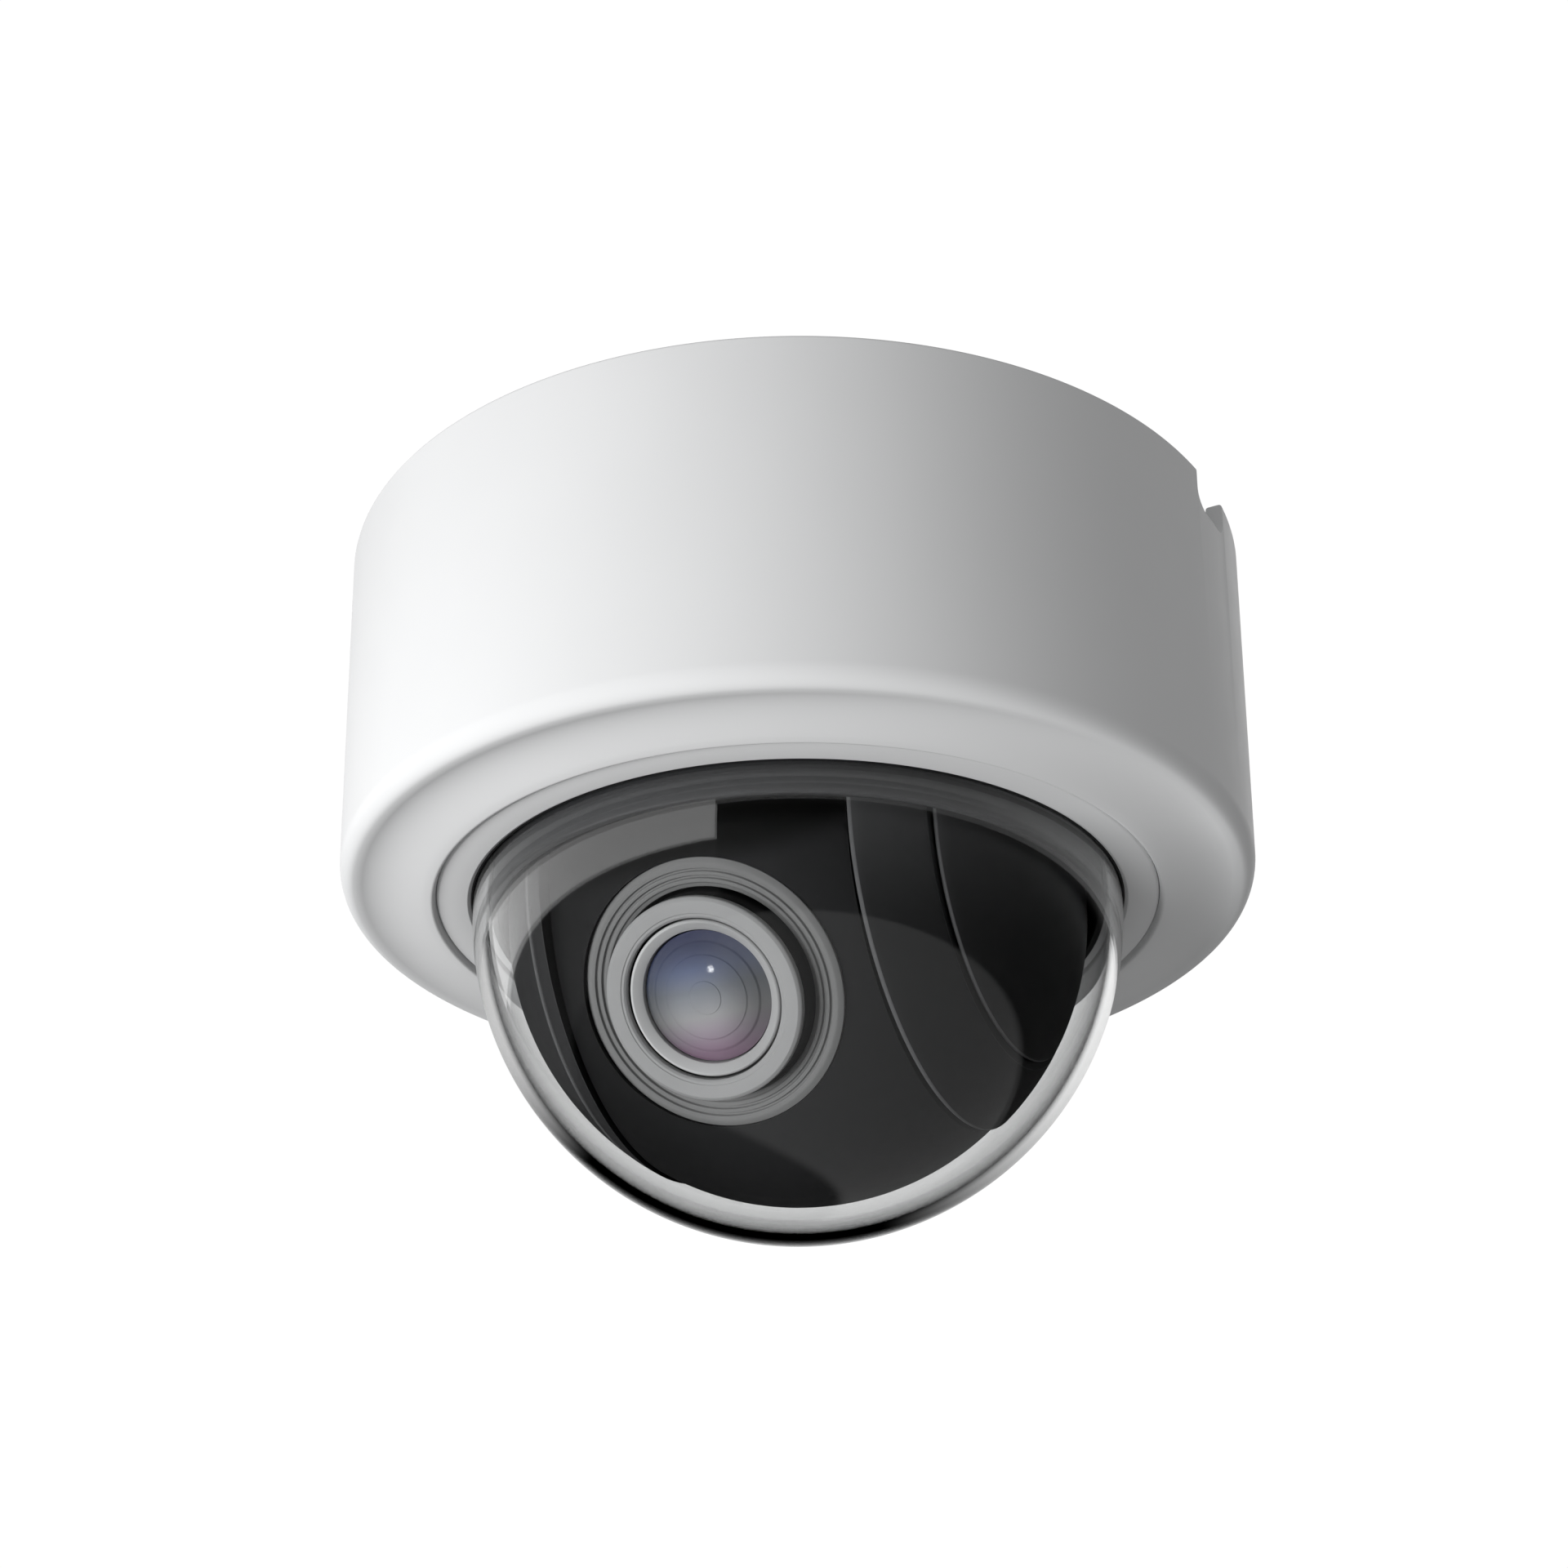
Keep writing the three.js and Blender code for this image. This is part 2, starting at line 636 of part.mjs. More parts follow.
// A moving lens group: a thick disc of glass in its carrier, modelled as one solid.
function lensGroup(from, to) {
  const radius = GROUP_R;
  const middle = (from + to) / 2;
  return turnedLens([
    [0, from + 1], [radius - 2, from + 1], [radius - 2, from], [radius, from], [radius, to],
    [radius - 2, to], [radius - 2, to - 1], [radius / 2, middle + 1.6], [0, middle + 2.2],
  ], 16);
}

function irCutFilter() {
  return lensBlock([LENS_X - 9, LENS_X + 5], [-15.2, -14], [-5.5, 5.5]);
}

function heatSink() {
  const base = lensBlock([LENS_X - 11, LENS_X + 11], [-19.9, -19.1], [-12, 9]);
  const fins = [-9, -3, 3, 9].map(
    (x) => lensBlock([LENS_X + x - 0.8, LENS_X + x + 0.8], [-21.8, -19.5], [-12, 9]),
  );
  return join(base, ...fins);
}

// ---- Assembly ----

const camera = new THREE.Group();

piece(camera, 'mounting_plate', mountingPlate(), STEEL);
around(3, 60, POST_RING).forEach(([x, y], i) => {
  const post = rod(4, CHASSIS_TOP + GAP, -PLATE_T - GAP, x, y, 12);
  piece(camera, `mounting_post_${i + 1}`, post, STEEL);
});
piece(camera, 'chassis_plate', chassisPlate(), ALUMINIUM);
piece(camera, 'cable_gland', cableGland(), RUBBER);
around(3, 0, SCREW_RING).forEach(([x, y], i) => {
  piece(camera, `shell_screw_${i + 1}`, shellScrew(x, y), STEEL);
});
piece(camera, 'housing_shell', housingShell(), WHITE);
piece(camera, 'bubble_ring', bubbleRing(), WHITE);
const gasket = ring(RING_R + 0.2, 52, FLANGE_Z - 1.1, FLANGE_Z - GAP, SIDES);
piece(camera, 'bubble_gasket', gasket, RUBBER);
piece(camera, 'dome_bubble', domeBubble(), CLEAR);
piece(camera, 'liner_ring', linerRing(), LINER);
piece(camera, 'main_board', mainBoard(), BOARD);
STANDOFFS.forEach(([x, y], i) => {
  const standoff = rod(2, BOARD_TOP + GAP, CHASSIS_TOP - CHASSIS_T - GAP, x, y, 10);
  piece(camera, `board_standoff_${i + 1}`, standoff, STEEL);
});
const underBoard = BOARD_TOP - BOARD_T - GAP;
piece(camera, 'processor', block([-44, -28], [-8, 8], [underBoard - 2, underBoard]), BLACK);
piece(camera, 'network_transformer', block([-40, -26], [18, 30], [underBoard - 7, underBoard]), BLACK);
piece(camera, 'power_capacitor', rod(4, underBoard - 10, underBoard, -32, -24, 16), ALUMINIUM);
piece(camera, 'card_slot', cardSlot(), STEEL);
piece(camera, 'reset_switch', resetSwitch(), BLACK);
piece(camera, 'reset_button', resetButton(), NYLON);
piece(camera, 'pan_motor', panMotor(), STEEL);
const outerRace = ring(BEARING_SPLIT[1], BEARING_OUTER, ...BEARING_Z, 20);
piece(camera, 'pan_bearing_outer', outerRace, STEEL);
piece(camera, 'pan_pinion', panPinion(), NYLON);

const head = new THREE.Group();
head.rotation.z = radians(PAN_REST);
camera.add(head);

piece(head, 'turntable', turntable(), CHARCOAL);
const nutRing = ring(HUB_R + GAP, 13, CHASSIS_TOP + GAP, HUB_TOP - GAP, 20);
piece(head, 'hub_nut', nutRing, STEEL);
const innerRace = ring(HUB_R + GAP, BEARING_SPLIT[0], ...BEARING_Z, 20);
piece(head, 'pan_bearing_inner', innerRace, STEEL);
piece(head, 'left_fork_arm', leftForkArm(), CHARCOAL);
piece(head, 'right_fork_arm', rightForkArm(), CHARCOAL);
piece(head, 'left_side_cover', leftSideCover(), CHARCOAL);
piece(head, 'right_side_cover', rightSideCover(), CHARCOAL);
piece(head, 'tilt_motor', tiltMotor(), STEEL);
piece(head, 'tilt_bearing_left', ringX(SHAFT_R + GAP, BEARING_R, -23.9, -21.8, TILT_Z), STEEL);
piece(head, 'tilt_bearing_right', ringX(SHAFT_R + GAP, BEARING_R, ...RIGHT_WEB, TILT_Z), STEEL);
piece(head, 'tilt_pinion', tiltPinion(), NYLON);

// The large gear keeps a tooth on the line to the motor while the head is turned.
const gearGroup = new THREE.Group();
gearGroup.rotation.z = -radians(PAN_REST);
head.add(gearGroup);
piece(gearGroup, 'pan_gear', panGear(), NYLON);

const ball = new THREE.Group();
ball.position.z = TILT_Z;
ball.rotation.x = radians(TILT_REST);
head.add(ball);

const shell = ballShell();
piece(ball, 'ball_front_shell', ballFrontShell(shell), CHARCOAL);
piece(ball, 'ball_rear_shell', ballRearShell(shell), CHARCOAL);
piece(ball, 'tilt_frame', tiltFrame(), ALUMINIUM);
piece(ball, 'tilt_shaft_left', rodX(SHAFT_R, -25.5, -15.3, 0), STEEL);
piece(ball, 'tilt_shaft_right', rodX(SHAFT_R, 18.3, 29.5, 0), STEEL);
piece(ball, 'tilt_gear', tiltGear(), NYLON);
piece(ball, 'lens_bezel', lensBezel(), GREY);
piece(ball, 'lens_trim_ring', lensTrimRing(), SILVER);
piece(ball, 'lens_front_ring', lensFrontRing(), SILVER);
piece(ball, 'front_lens', frontLens(), GLASS);
piece(ball, 'lens_barrel', lensBarrel(), BLACK);
piece(ball, 'zoom_group', lensGroup(8, 16), GLASS);
piece(ball, 'focus_group', lensGroup(-6, 0), GLASS);
piece(ball, 'ir_cut_filter', irCutFilter(), GLASS);
piece(ball, 'image_sensor', lensBlock([LENS_X - 5, LENS_X + 5], [-17.3, -16.1], [-4, 4]), BLACK);
piece(ball, 'sensor_board', lensBlock([LENS_X - 13, LENS_X + 13], [-18.8, -17.6], [-12, 12]), BOARD);
piece(ball, 'heat_sink', heatSink(), ALUMINIUM);

export default camera;
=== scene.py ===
"""Looks for a ceiling-mounted pan-tilt dome camera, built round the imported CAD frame.

Shapes are described in millimetres in four local frames: ROOT, HEAD (turned with the fork), BALL
(on the tilt axis, lens towards -Y) and LENS (on the lens axis, +Z out of the lens).
"""

import json
import math

import bmesh
import bpy
from mathutils import Matrix, Vector


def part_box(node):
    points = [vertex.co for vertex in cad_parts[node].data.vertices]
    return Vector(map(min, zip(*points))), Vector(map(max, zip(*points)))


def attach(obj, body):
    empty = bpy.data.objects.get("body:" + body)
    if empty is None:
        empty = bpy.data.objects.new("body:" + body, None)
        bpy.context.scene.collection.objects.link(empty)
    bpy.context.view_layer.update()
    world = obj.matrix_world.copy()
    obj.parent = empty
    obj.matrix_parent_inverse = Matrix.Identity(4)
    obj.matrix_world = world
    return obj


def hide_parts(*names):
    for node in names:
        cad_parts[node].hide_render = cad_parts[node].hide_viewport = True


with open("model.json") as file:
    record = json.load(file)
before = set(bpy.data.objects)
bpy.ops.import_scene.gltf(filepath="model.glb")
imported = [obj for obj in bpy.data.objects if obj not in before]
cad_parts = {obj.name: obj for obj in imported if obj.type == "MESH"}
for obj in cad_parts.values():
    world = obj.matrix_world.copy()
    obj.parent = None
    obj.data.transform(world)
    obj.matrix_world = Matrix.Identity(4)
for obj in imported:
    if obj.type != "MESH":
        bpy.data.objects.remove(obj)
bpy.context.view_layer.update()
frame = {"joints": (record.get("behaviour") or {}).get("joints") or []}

MM = 0.001
JOINTS = {joint["name"]: joint for joint in frame["joints"]}

# ---- Places taken from the frame, in millimetres ----


def box_mm(node):
    low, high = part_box(node)
    return Vector(low) / MM, Vector(high) / MM


SHELL_HIGH = box_mm("housing_shell")[1]
BUBBLE_LOW, BUBBLE_HIGH = box_mm("dome_bubble")
PLATE_LOW = box_mm("mounting_plate")[0]
CHASSIS_LOW, CHASSIS_HIGH = box_mm("chassis_plate")
LINER_LOW, LINER_HIGH = box_mm("liner_ring")

RIM_R = 65.5
WALL_R = 64.4
WALL = 2.4
RIM_Z = SHELL_HIGH.z
FACE_Z = RIM_Z - 51.1
STEP_R = 51.2
BUBBLE_R = 45.7
BUBBLE_WALL = 1.8
BUBBLE_Z = BUBBLE_LOW.z + BUBBLE_R
FLANGE_Z = BUBBLE_HIGH.z - 1.6
CHEEK_R = 40.7
BALL_R = 38.9
BALL_LEFT, BALL_RIGHT = -20.8, 22.2
LENS_X = 1.1
BEZEL_R = 17.5
BARREL_R = 13.4
BARREL_FRONT = 36.6
FORK_TOP = -27.9
SCREW_CIRCLE = 56.3
LEAD_X, LEAD_Y = 40, -20
PAN_MODULE, PAN_TEETH = 1.2, (10, 40)
TILT_MODULE, TILT_TEETH = 0.8, (8, 24)
GEAR_SLACK = 0.1
CREASE = 38.0

tilt_axis = Vector(JOINTS["tilt"]["axis"])
PAN = math.atan2(tilt_axis.y, tilt_axis.x)
TILT_Z = JOINTS["tilt"]["pos_m"][2] / MM
TILT = math.asin(-JOINTS["zoom_travel"]["axis"][2])


def rotation(degrees, axis):
    return Matrix.Rotation(math.radians(degrees), 4, axis)


ROOT = Matrix()
HEAD = Matrix.Rotation(PAN, 4, "Z")
BALL = HEAD @ Matrix.Translation((0, 0, TILT_Z)) @ Matrix.Rotation(TILT, 4, "X")
LENS = BALL @ Matrix.Translation((LENS_X, 0, 0)) @ rotation(90, "X")

# ---- The studio's light: levels, and directions from the object ----

AMBIENT = 0.35
BACKDROP = 0.97
PANEL_GLOW = 1.3
WALL_GLOW = 0.04
FLOOR_GLOW = 0.17
SPOT_GLOW = 16.0
KEY_TOWARD = (-0.76, -0.494, -0.423)
SPOT_TOWARD = (-0.627, -0.561, -0.54)
VIEW_Y, VIEW_Z = 0.905, 0.426


def across(place, z=0.0):
    """A frame at height z whose Z runs along the tilt axis."""
    return place @ Matrix.Translation((0, 0, z)) @ rotation(90, "Y")


# ---- Materials ----


def node(tree, kind, **inputs):
    made = tree.nodes.new(kind)
    for name, value in inputs.items():
        made.inputs[name.replace("_", " ")].default_value = value
    return made


def blank(name, **inputs):
    """A material and its Principled shader, with some of the shader's own sockets set."""
    made = bpy.data.materials.new(name)
    made.use_nodes = True
    tree = made.node_tree
    shader = tree.nodes["Principled BSDF"]
    for socket, value in inputs.items():
        shader.inputs[socket.replace("_", " ")].default_value = value
    return made, tree, shader


def noise(tree, scale, detail=3.0, stretch=(1, 1, 1)):
    """Noise over the piece's own shape, in metres."""
    mapping = tree.nodes.new("ShaderNodeMapping")
    mapping.inputs["Scale"].default_value = stretch
    made = node(tree, "ShaderNodeTexNoise", Scale=scale, Detail=detail)
    tree.links.new(on_piece(tree), mapping.inputs["Vector"])
    tree.links.new(mapping.outputs["Vector"], made.inputs["Vector"])
    return made.outputs["Fac"]


def on_piece(tree):
    """Where a point lies on its own piece, in metres."""
    return tree.nodes.new("ShaderNodeTexCoord").outputs["Object"]


def vector_op(tree, kind, source, value):
    """One vector operation of a socket with a fixed vector."""
    made = tree.nodes.new("ShaderNodeVectorMath")
    made.operation = kind
    made.inputs[1].default_value = value
    tree.links.new(source, made.inputs[0])
    return made.outputs["Value" if kind in ("DOT_PRODUCT", "DISTANCE") else "Vector"]


def share_between(tree, low, high, start=0.0, end=1.0):
    """A value that goes smoothly from start to end between two points in metres."""
    run = high - low
    first = low.dot(run.normalized())
    made = node(tree, "ShaderNodeMapRange", From_Min=first, From_Max=first + run.length,
                To_Min=start, To_Max=end)
    made.interpolation_type = "SMOOTHSTEP"
    tree.links.new(vector_op(tree, "DOT_PRODUCT", on_piece(tree), run.normalized()),
                   made.inputs["Value"])
    return made.outputs["Result"]


def blend_tones(tree, shader, share, low, high):
    """Drives the shader's colour from low to high by a share."""
    tone = tree.nodes.new("ShaderNodeMix")
    tone.data_type = "RGBA"
    tone.inputs["A"].default_value = (*low, 1)
    tone.inputs["B"].default_value = (*high, 1)
    tree.links.new(share, tone.inputs["Factor"])
    tree.links.new(tone.outputs["Result"], shader.inputs["Base Color"])


def scale_tone(tree, shader, color, level):
    """Gives the shader a colour multiplied by a level."""
    scale = tree.nodes.new("ShaderNodeVectorMath")
    scale.operation = "SCALE"
    tree.links.new(color, scale.inputs[0])
    tree.links.new(level, scale.inputs["Scale"])
    tree.links.new(scale.outputs["Vector"], shader.inputs["Base Color"])


def spread(tree, source, low, high):
    """Maps a noise's middle range to low..high."""
    made = node(tree, "ShaderNodeMapRange", From_Min=0.3, From_Max=0.7, To_Min=low, To_Max=high)
    tree.links.new(source, made.inputs["Value"])
    return made.outputs["Result"]


def surface(name, color, rough, grain=2600, bump=0.05, depth=0.00005, mottle=0.04, metal=0.0,
            specular=0.5, stretch=(1, 1, 1), rough_spread=0.06):
    """Moulded plastic, paint or metal: fine grain in the bump, slow drift in tone and gloss."""
    made, tree, shader = blank(name, Metallic=metal, Specular_IOR_Level=specular)
    blend_tones(tree, shader, spread(tree, noise(tree, 45.0, 2.0, stretch), 0, 1),
                [c * (1 - mottle) for c in color], [min(1.0, c * (1 + mottle)) for c in color])
    gloss = spread(tree, noise(tree, 220.0, 3.0, stretch), rough - rough_spread / 2,
                   rough + rough_spread / 2)
    tree.links.new(gloss, shader.inputs["Roughness"])
    relief = node(tree, "ShaderNodeBump", Strength=bump, Distance=depth)
    tree.links.new(noise(tree, grain, 2.0, stretch), relief.inputs["Height"])
    tree.links.new(relief.outputs["Normal"], shader.inputs["Normal"])
    return made


def clear(name, tint, ior, film=0.0, specular=0.5):
    """Clear plastic or glass that lets lamps through to what it covers."""
    made, tree, shader = blank(name, Base_Color=(*tint, 1), Transmission_Weight=1.0, IOR=ior,
                               Specular_IOR_Level=specular, Thin_Film_Thickness=film,
                               Thin_Film_IOR=1.38)
    tree.links.new(spread(tree, noise(tree, 60.0, 2.0), 0.0, 0.01), shader.inputs["Roughness"])
    path = tree.nodes.new("ShaderNodeLightPath")
    through = node(tree, "ShaderNodeBsdfTransparent", Color=(*tint, 1))
    mix = tree.nodes.new("ShaderNodeMixShader")
    tree.links.new(path.outputs["Is Shadow Ray"], mix.inputs["Fac"])
    tree.links.new(shader.outputs["BSDF"], mix.inputs[1])
    tree.links.new(through.outputs["BSDF"], mix.inputs[2])
    tree.links.new(mix.outputs["Shader"], tree.nodes["Material Output"].inputs["Surface"])
    return made


def graded(name, low, high, lower, upper, rough, specular=0.5):
    """Colour that goes from one tone to another between two points in metres; it paints light and
    shade into the piece.
    """
    made, tree, shader = blank(name, Specular_IOR_Level=specular)
    blend_tones(tree, shader, share_between(tree, low, high), lower, upper)
    tree.links.new(spread(tree, noise(tree, 300.0, 2.0), rough - 0.02, rough + 0.02),
                   shader.inputs["Roughness"])
    return made


def paint_lens_reflections(name, middle, up, radius):
    """A clear coat over painted reflections of coated glass: pink below, pale in the middle and
    blue above, with a painted highlight left of and below the middle and painted shade towards its
    edge.
    """
    made, tree, shader = blank(name, Coat_Weight=1.0, Coat_Roughness=0.02,
                               Specular_IOR_Level=0.2)
    offset = vector_op(tree, "SUBTRACT", on_piece(tree), middle)
    share = node(tree, "ShaderNodeMapRange", From_Min=-radius, From_Max=radius)
    tree.links.new(vector_op(tree, "DOT_PRODUCT", offset, up), share.inputs["Value"])
    tints = tree.nodes.new("ShaderNodeValToRGB")
    stops = tints.color_ramp.elements
    stops[0].position, stops[0].color = 0.05, (0.50, 0.30, 0.46, 1)
    stops[1].position, stops[1].color = 0.98, (0.08, 0.1, 0.28, 1)
    for position, color in ((0.2, (0.42, 0.34, 0.42, 1)), (0.36, (0.38, 0.38, 0.39, 1)),
                            (0.56, (0.22, 0.24, 0.28, 1)), (0.72, (0.17, 0.21, 0.36, 1))):
        stops.new(position).color = color
    tree.links.new(share.outputs["Result"], tints.inputs["Fac"])
    # Centre of the painted highlight; the fade paints shade towards the edge.
    brightest = HEAD.to_3x3() @ Vector((-1.2 * MM, 0, 0)) - 1.0 * MM * up
    fade = node(tree, "ShaderNodeMapRange", From_Min=0.15 * radius, From_Max=radius, To_Min=0.85,
                To_Max=0.25)
    fade.interpolation_type = "SMOOTHSTEP"
    tree.links.new(vector_op(tree, "DISTANCE", offset, brightest), fade.inputs["Value"])
    scale_tone(tree, shader, tints.outputs["Color"], fade.outputs["Result"])
    tree.links.new(spread(tree, noise(tree, 300.0, 2.0), 0.2, 0.24), shader.inputs["Roughness"])
    return made


def dimmed(finish, start, end, share):
    """Darkens a finish to a share of its colour between two points in millimetres: painted shade.
    """
    tree = finish.node_tree
    shader = tree.nodes["Principled BSDF"]
    scale_tone(tree, shader, shader.inputs["Base Color"].links[0].from_socket,
               share_between(tree, start * MM, end * MM, 1.0, share))


WHITE = surface("white_paint", (0.74, 0.745, 0.75), 0.42, grain=1500, bump=0.06, depth=0.00006,
                mottle=0.008)
CHARCOAL = surface("charcoal_plastic", (0.027, 0.027, 0.028), 0.42, bump=0.03, depth=0.00003,
                   mottle=0.05, specular=0.35)
DARK = surface("liner_plastic", (0.027, 0.0275, 0.029), 0.42, bump=0.08)
GREY = surface("bezel_plastic", (0.2, 0.2, 0.2), 0.4, depth=0.00004)
SILVER = surface("ring_silver", (0.38, 0.38, 0.383), 0.36, grain=3000, bump=0.04, depth=0.00004,
                 metal=0.15, mottle=0.02)
BLACK = surface("black_plastic", (0.008, 0.008, 0.009), 0.32)
FLOCK = surface("barrel_black", (0.004, 0.004, 0.0045), 0.7, grain=3500, bump=0.3, depth=0.00008)
RUBBER = surface("rubber", (0.016, 0.016, 0.017), 0.62, grain=1800, bump=0.15, depth=0.0001)
STEEL = surface("plated_steel", (0.5, 0.5, 0.51), 0.46, grain=900, bump=0.04, depth=0.00008,
                metal=0.45)
BRUSHED = surface("machined_steel", (0.58, 0.58, 0.59), 0.26, grain=700, bump=0.12, metal=1.0,
                  stretch=(1, 1, 14), rough_spread=0.15)
ALLOY = surface("cast_alloy", (0.5, 0.5, 0.51), 0.46, grain=1300, bump=0.2, depth=0.0001,
                metal=1.0, mottle=0.05)
BRASS = surface("brass", (0.66, 0.48, 0.2), 0.3, grain=900, depth=0.00006, metal=1.0)
NYLON = surface("white_nylon", (0.72, 0.69, 0.62), 0.4, grain=1500, bump=0.08, depth=0.00008)
SOLDER_MASK = surface("solder_mask", (0.012, 0.075, 0.035), 0.36, grain=700, bump=0.1,
                      depth=0.00006, mottle=0.15)
CHIP = surface("chip_epoxy", (0.014, 0.014, 0.015), 0.55, grain=2500, bump=0.15)
LENS_UP = BALL.to_3x3() @ Vector((0, 0, 1))
LENS_FACE = LENS @ Vector((0, 0, 36.5))
# The front ring's colour runs from light on its left to darker on its right: painted light, as if
# lit from the left.
RING_PAINTED_LIGHT = graded("ring_painted_light", (LENS_FACE + HEAD.to_3x3() @ Vector((-9, 0, 0))) * MM,
                  (LENS_FACE + HEAD.to_3x3() @ Vector((6, 0, 0))) * MM,
                  (0.6, 0.6, 0.603), (0.38, 0.38, 0.383), 0.36)
# The front glass: coloured reflections, a highlight and shade painted into its colour.
LENS_PAINTED_REFLECTIONS = paint_lens_reflections("lens_painted_reflections", LENS_FACE * MM, LENS_UP, 8.6 * MM)
# The ball's front: painted shade, near-black towards its top.
SHADE_LOW = BALL @ Vector((0, -33, 14.5))
CHARCOAL_PAINTED_SHADE = graded("charcoal_painted_shade", SHADE_LOW * MM, (SHADE_LOW + 4.5 * LENS_UP) * MM,
                (0.023, 0.023, 0.024), (0.004, 0.004, 0.004), 0.42, specular=0.25)
# More painted shade, darker towards the left.
dimmed(CHARCOAL_PAINTED_SHADE, HEAD @ Vector((6, 0, 0)), HEAD @ Vector((-18, 0, 0)), 0.45)
# Lighter towards the top: painted light on the right fork arm and right cover.
CHARCOAL_PAINTED_LIGHT = graded("charcoal_painted_light", Vector((0, 0, -72)) * MM, Vector((0, 0, -55)) * MM,
               (0.025, 0.025, 0.026), (0.07, 0.07, 0.072), 0.42, specular=0.35)
# Lighter grey laid on the rounded seam edges of the ball, fork arms and covers: a painted
# highlight where those edges would catch the light.
EDGE_HIGHLIGHT = surface("painted_edge_highlight", (0.105, 0.105, 0.108), 0.35, bump=0.03, depth=0.00003)
BUBBLE = clear("clear_polycarbonate", (0.985, 0.99, 0.99), 1.58, specular=0.25)
GLASS = clear("lens_glass", (0.93, 0.95, 1.0), 1.52, film=420.0)
FILTER = clear("filter_glass", (0.65, 0.9, 0.95), 1.5, film=300.0)


# ---- Mesh helpers ----


def fillet(points, radius, closed=True, steps=4):
    """Rounds every corner of a 2-D outline. A point may carry its own radius as a third value."""
    out = []
    count = len(points)
    for i, point in enumerate(points):
        here = Vector(point[:2])
        size = point[2] if len(point) > 2 else radius
        at_end = not closed and i in (0, count - 1)
        before = Vector(points[i - 1][:2]) - here
        after = Vector(points[(i + 1) % count][:2]) - here
        if at_end or size <= 0 or before.length < 1e-6 or after.length < 1e-6:
            out.append(here)
            continue
        turn = before.angle(after)
        if turn > math.radians(172) or turn < math.radians(4):
            out.append(here)
            continue
        reach = min(size / math.tan(turn / 2), 0.46 * before.length, 0.46 * after.length)
        bend = reach * math.tan(turn / 2)
        start = here + before.normalized() * reach
        middle = here + (before.normalized() + after.normalized()).normalized() * (
            bend / math.sin(turn / 2))
        spoke = start - middle
        sweep = math.pi - turn
        side = 1 if before.x * after.y - before.y * after.x < 0 else -1
        for step in range(steps + 1):
            angle = side * sweep * step / steps
            cos, sin = math.cos(angle), math.sin(angle)
            out.append(middle + Vector((spoke.x * cos - spoke.y * sin,
                                        spoke.x * sin + spoke.y * cos)))
    return out


def arc(radius, middle, start, end, steps):
    """Points on a circle about (0, middle), from start to end degrees."""
    turns = [math.radians(start + (end - start) * i / steps) for i in range(steps + 1)]
    return [(radius * math.cos(t), middle + radius * math.sin(t)) for t in turns]


def band(radius, low, high, steps):
    """A sphere's outline [r, z] between two heights."""
    first = math.degrees(math.asin(low / radius))
    last = math.degrees(math.asin(high / radius))
    return arc(radius, 0, first, last, steps)


def make(name, bm, place, sharp=CREASE):
    """An object from a bmesh in millimetres, put in place with smooth shading between creases."""
    bmesh.ops.remove_doubles(bm, verts=bm.verts, dist=1e-4)
    bmesh.ops.dissolve_degenerate(bm, edges=bm.edges, dist=1e-5)
    bmesh.ops.recalc_face_normals(bm, faces=bm.faces)
    bm.transform(scaled(place))
    mesh = bpy.data.meshes.new(name)
    bm.to_mesh(mesh)
    bm.free()
    made = bpy.data.objects.new(name, mesh)
    show(made)
    crease(made, sharp)
    return made


def show(thing):
    bpy.context.scene.collection.objects.link(thing)


def scaled(place):
    """The frame as a transform from millimetres in that frame to metres in the scene."""
    facing = place.to_3x3().to_4x4()
    return Matrix.Translation(place.translation * MM) @ facing @ Matrix.Scale(MM, 4)


def crease(thing, angle):
    mesh = thing.data
    bm = bmesh.new()
    bm.from_mesh(mesh)
    limit = math.radians(angle)
    for face in bm.faces:
        face.smooth = True
    for edge in bm.edges:
        edge.smooth = len(edge.link_faces) == 2 and edge.calc_face_angle(0) < limit
    bm.to_mesh(mesh)
    bm.free()


def spin(outline, segments=96, closed=True):
    """A bmesh turned about Z from an outline of [r, z]; open outlines end on the axis."""
    bm = bmesh.new()
    rings = []
    for r, z in outline:
        if r < 1e-6:
            rings.append([bm.verts.new((0, 0, z))])
            continue
        turn = [2 * math.pi * i / segments for i in range(segments)]
        rings.append([bm.verts.new((r * math.cos(t), r * math.sin(t), z)) for t in turn])
    pairs = list(zip(rings, rings[1:]))
    if closed:
        pairs.append((rings[-1], rings[0]))
    for low, high in pairs:
        if len(low) == 1 and len(high) == 1:
            continue
        for i in range(segments):
            j = (i + 1) % segments
            corners = [low[i % len(low)], low[j % len(low)], high[j % len(high)],
                       high[i % len(high)]]
            bm.faces.new(list(dict.fromkeys(corners)))
    return bm


def turned(name, outline, place, segments=96, closed=True, rounding=0.25, sharp=CREASE):
    """A turned piece with every corner of its outline rounded."""
    smooth = fillet(outline, rounding, closed, 3)
    return make(name, spin(smooth, segments, closed), place, sharp)


def rod(name, radius, low, high, place, x=0.0, y=0.0, rounding=0.2, segments=48):
    outline = [(0, low), (radius, low), (radius, high), (0, high)]
    return turned(name, outline, place @ Matrix.Translation((x, y, 0)), segments, False, rounding)


def drill(radius, low, high, place, x=0.0, y=0.0, segments=48):
    """A square-ended rod that only cuts."""
    return rod("drill", radius, low, high, place, x, y, 0, segments)


def ring(name, inner, outer, low, high, place, x=0.0, y=0.0, rounding=0.2):
    outline = [(inner, low), (outer, low), (outer, high), (inner, high)]
    return turned(name, outline, place @ Matrix.Translation((x, y, 0)), 72, True, rounding)


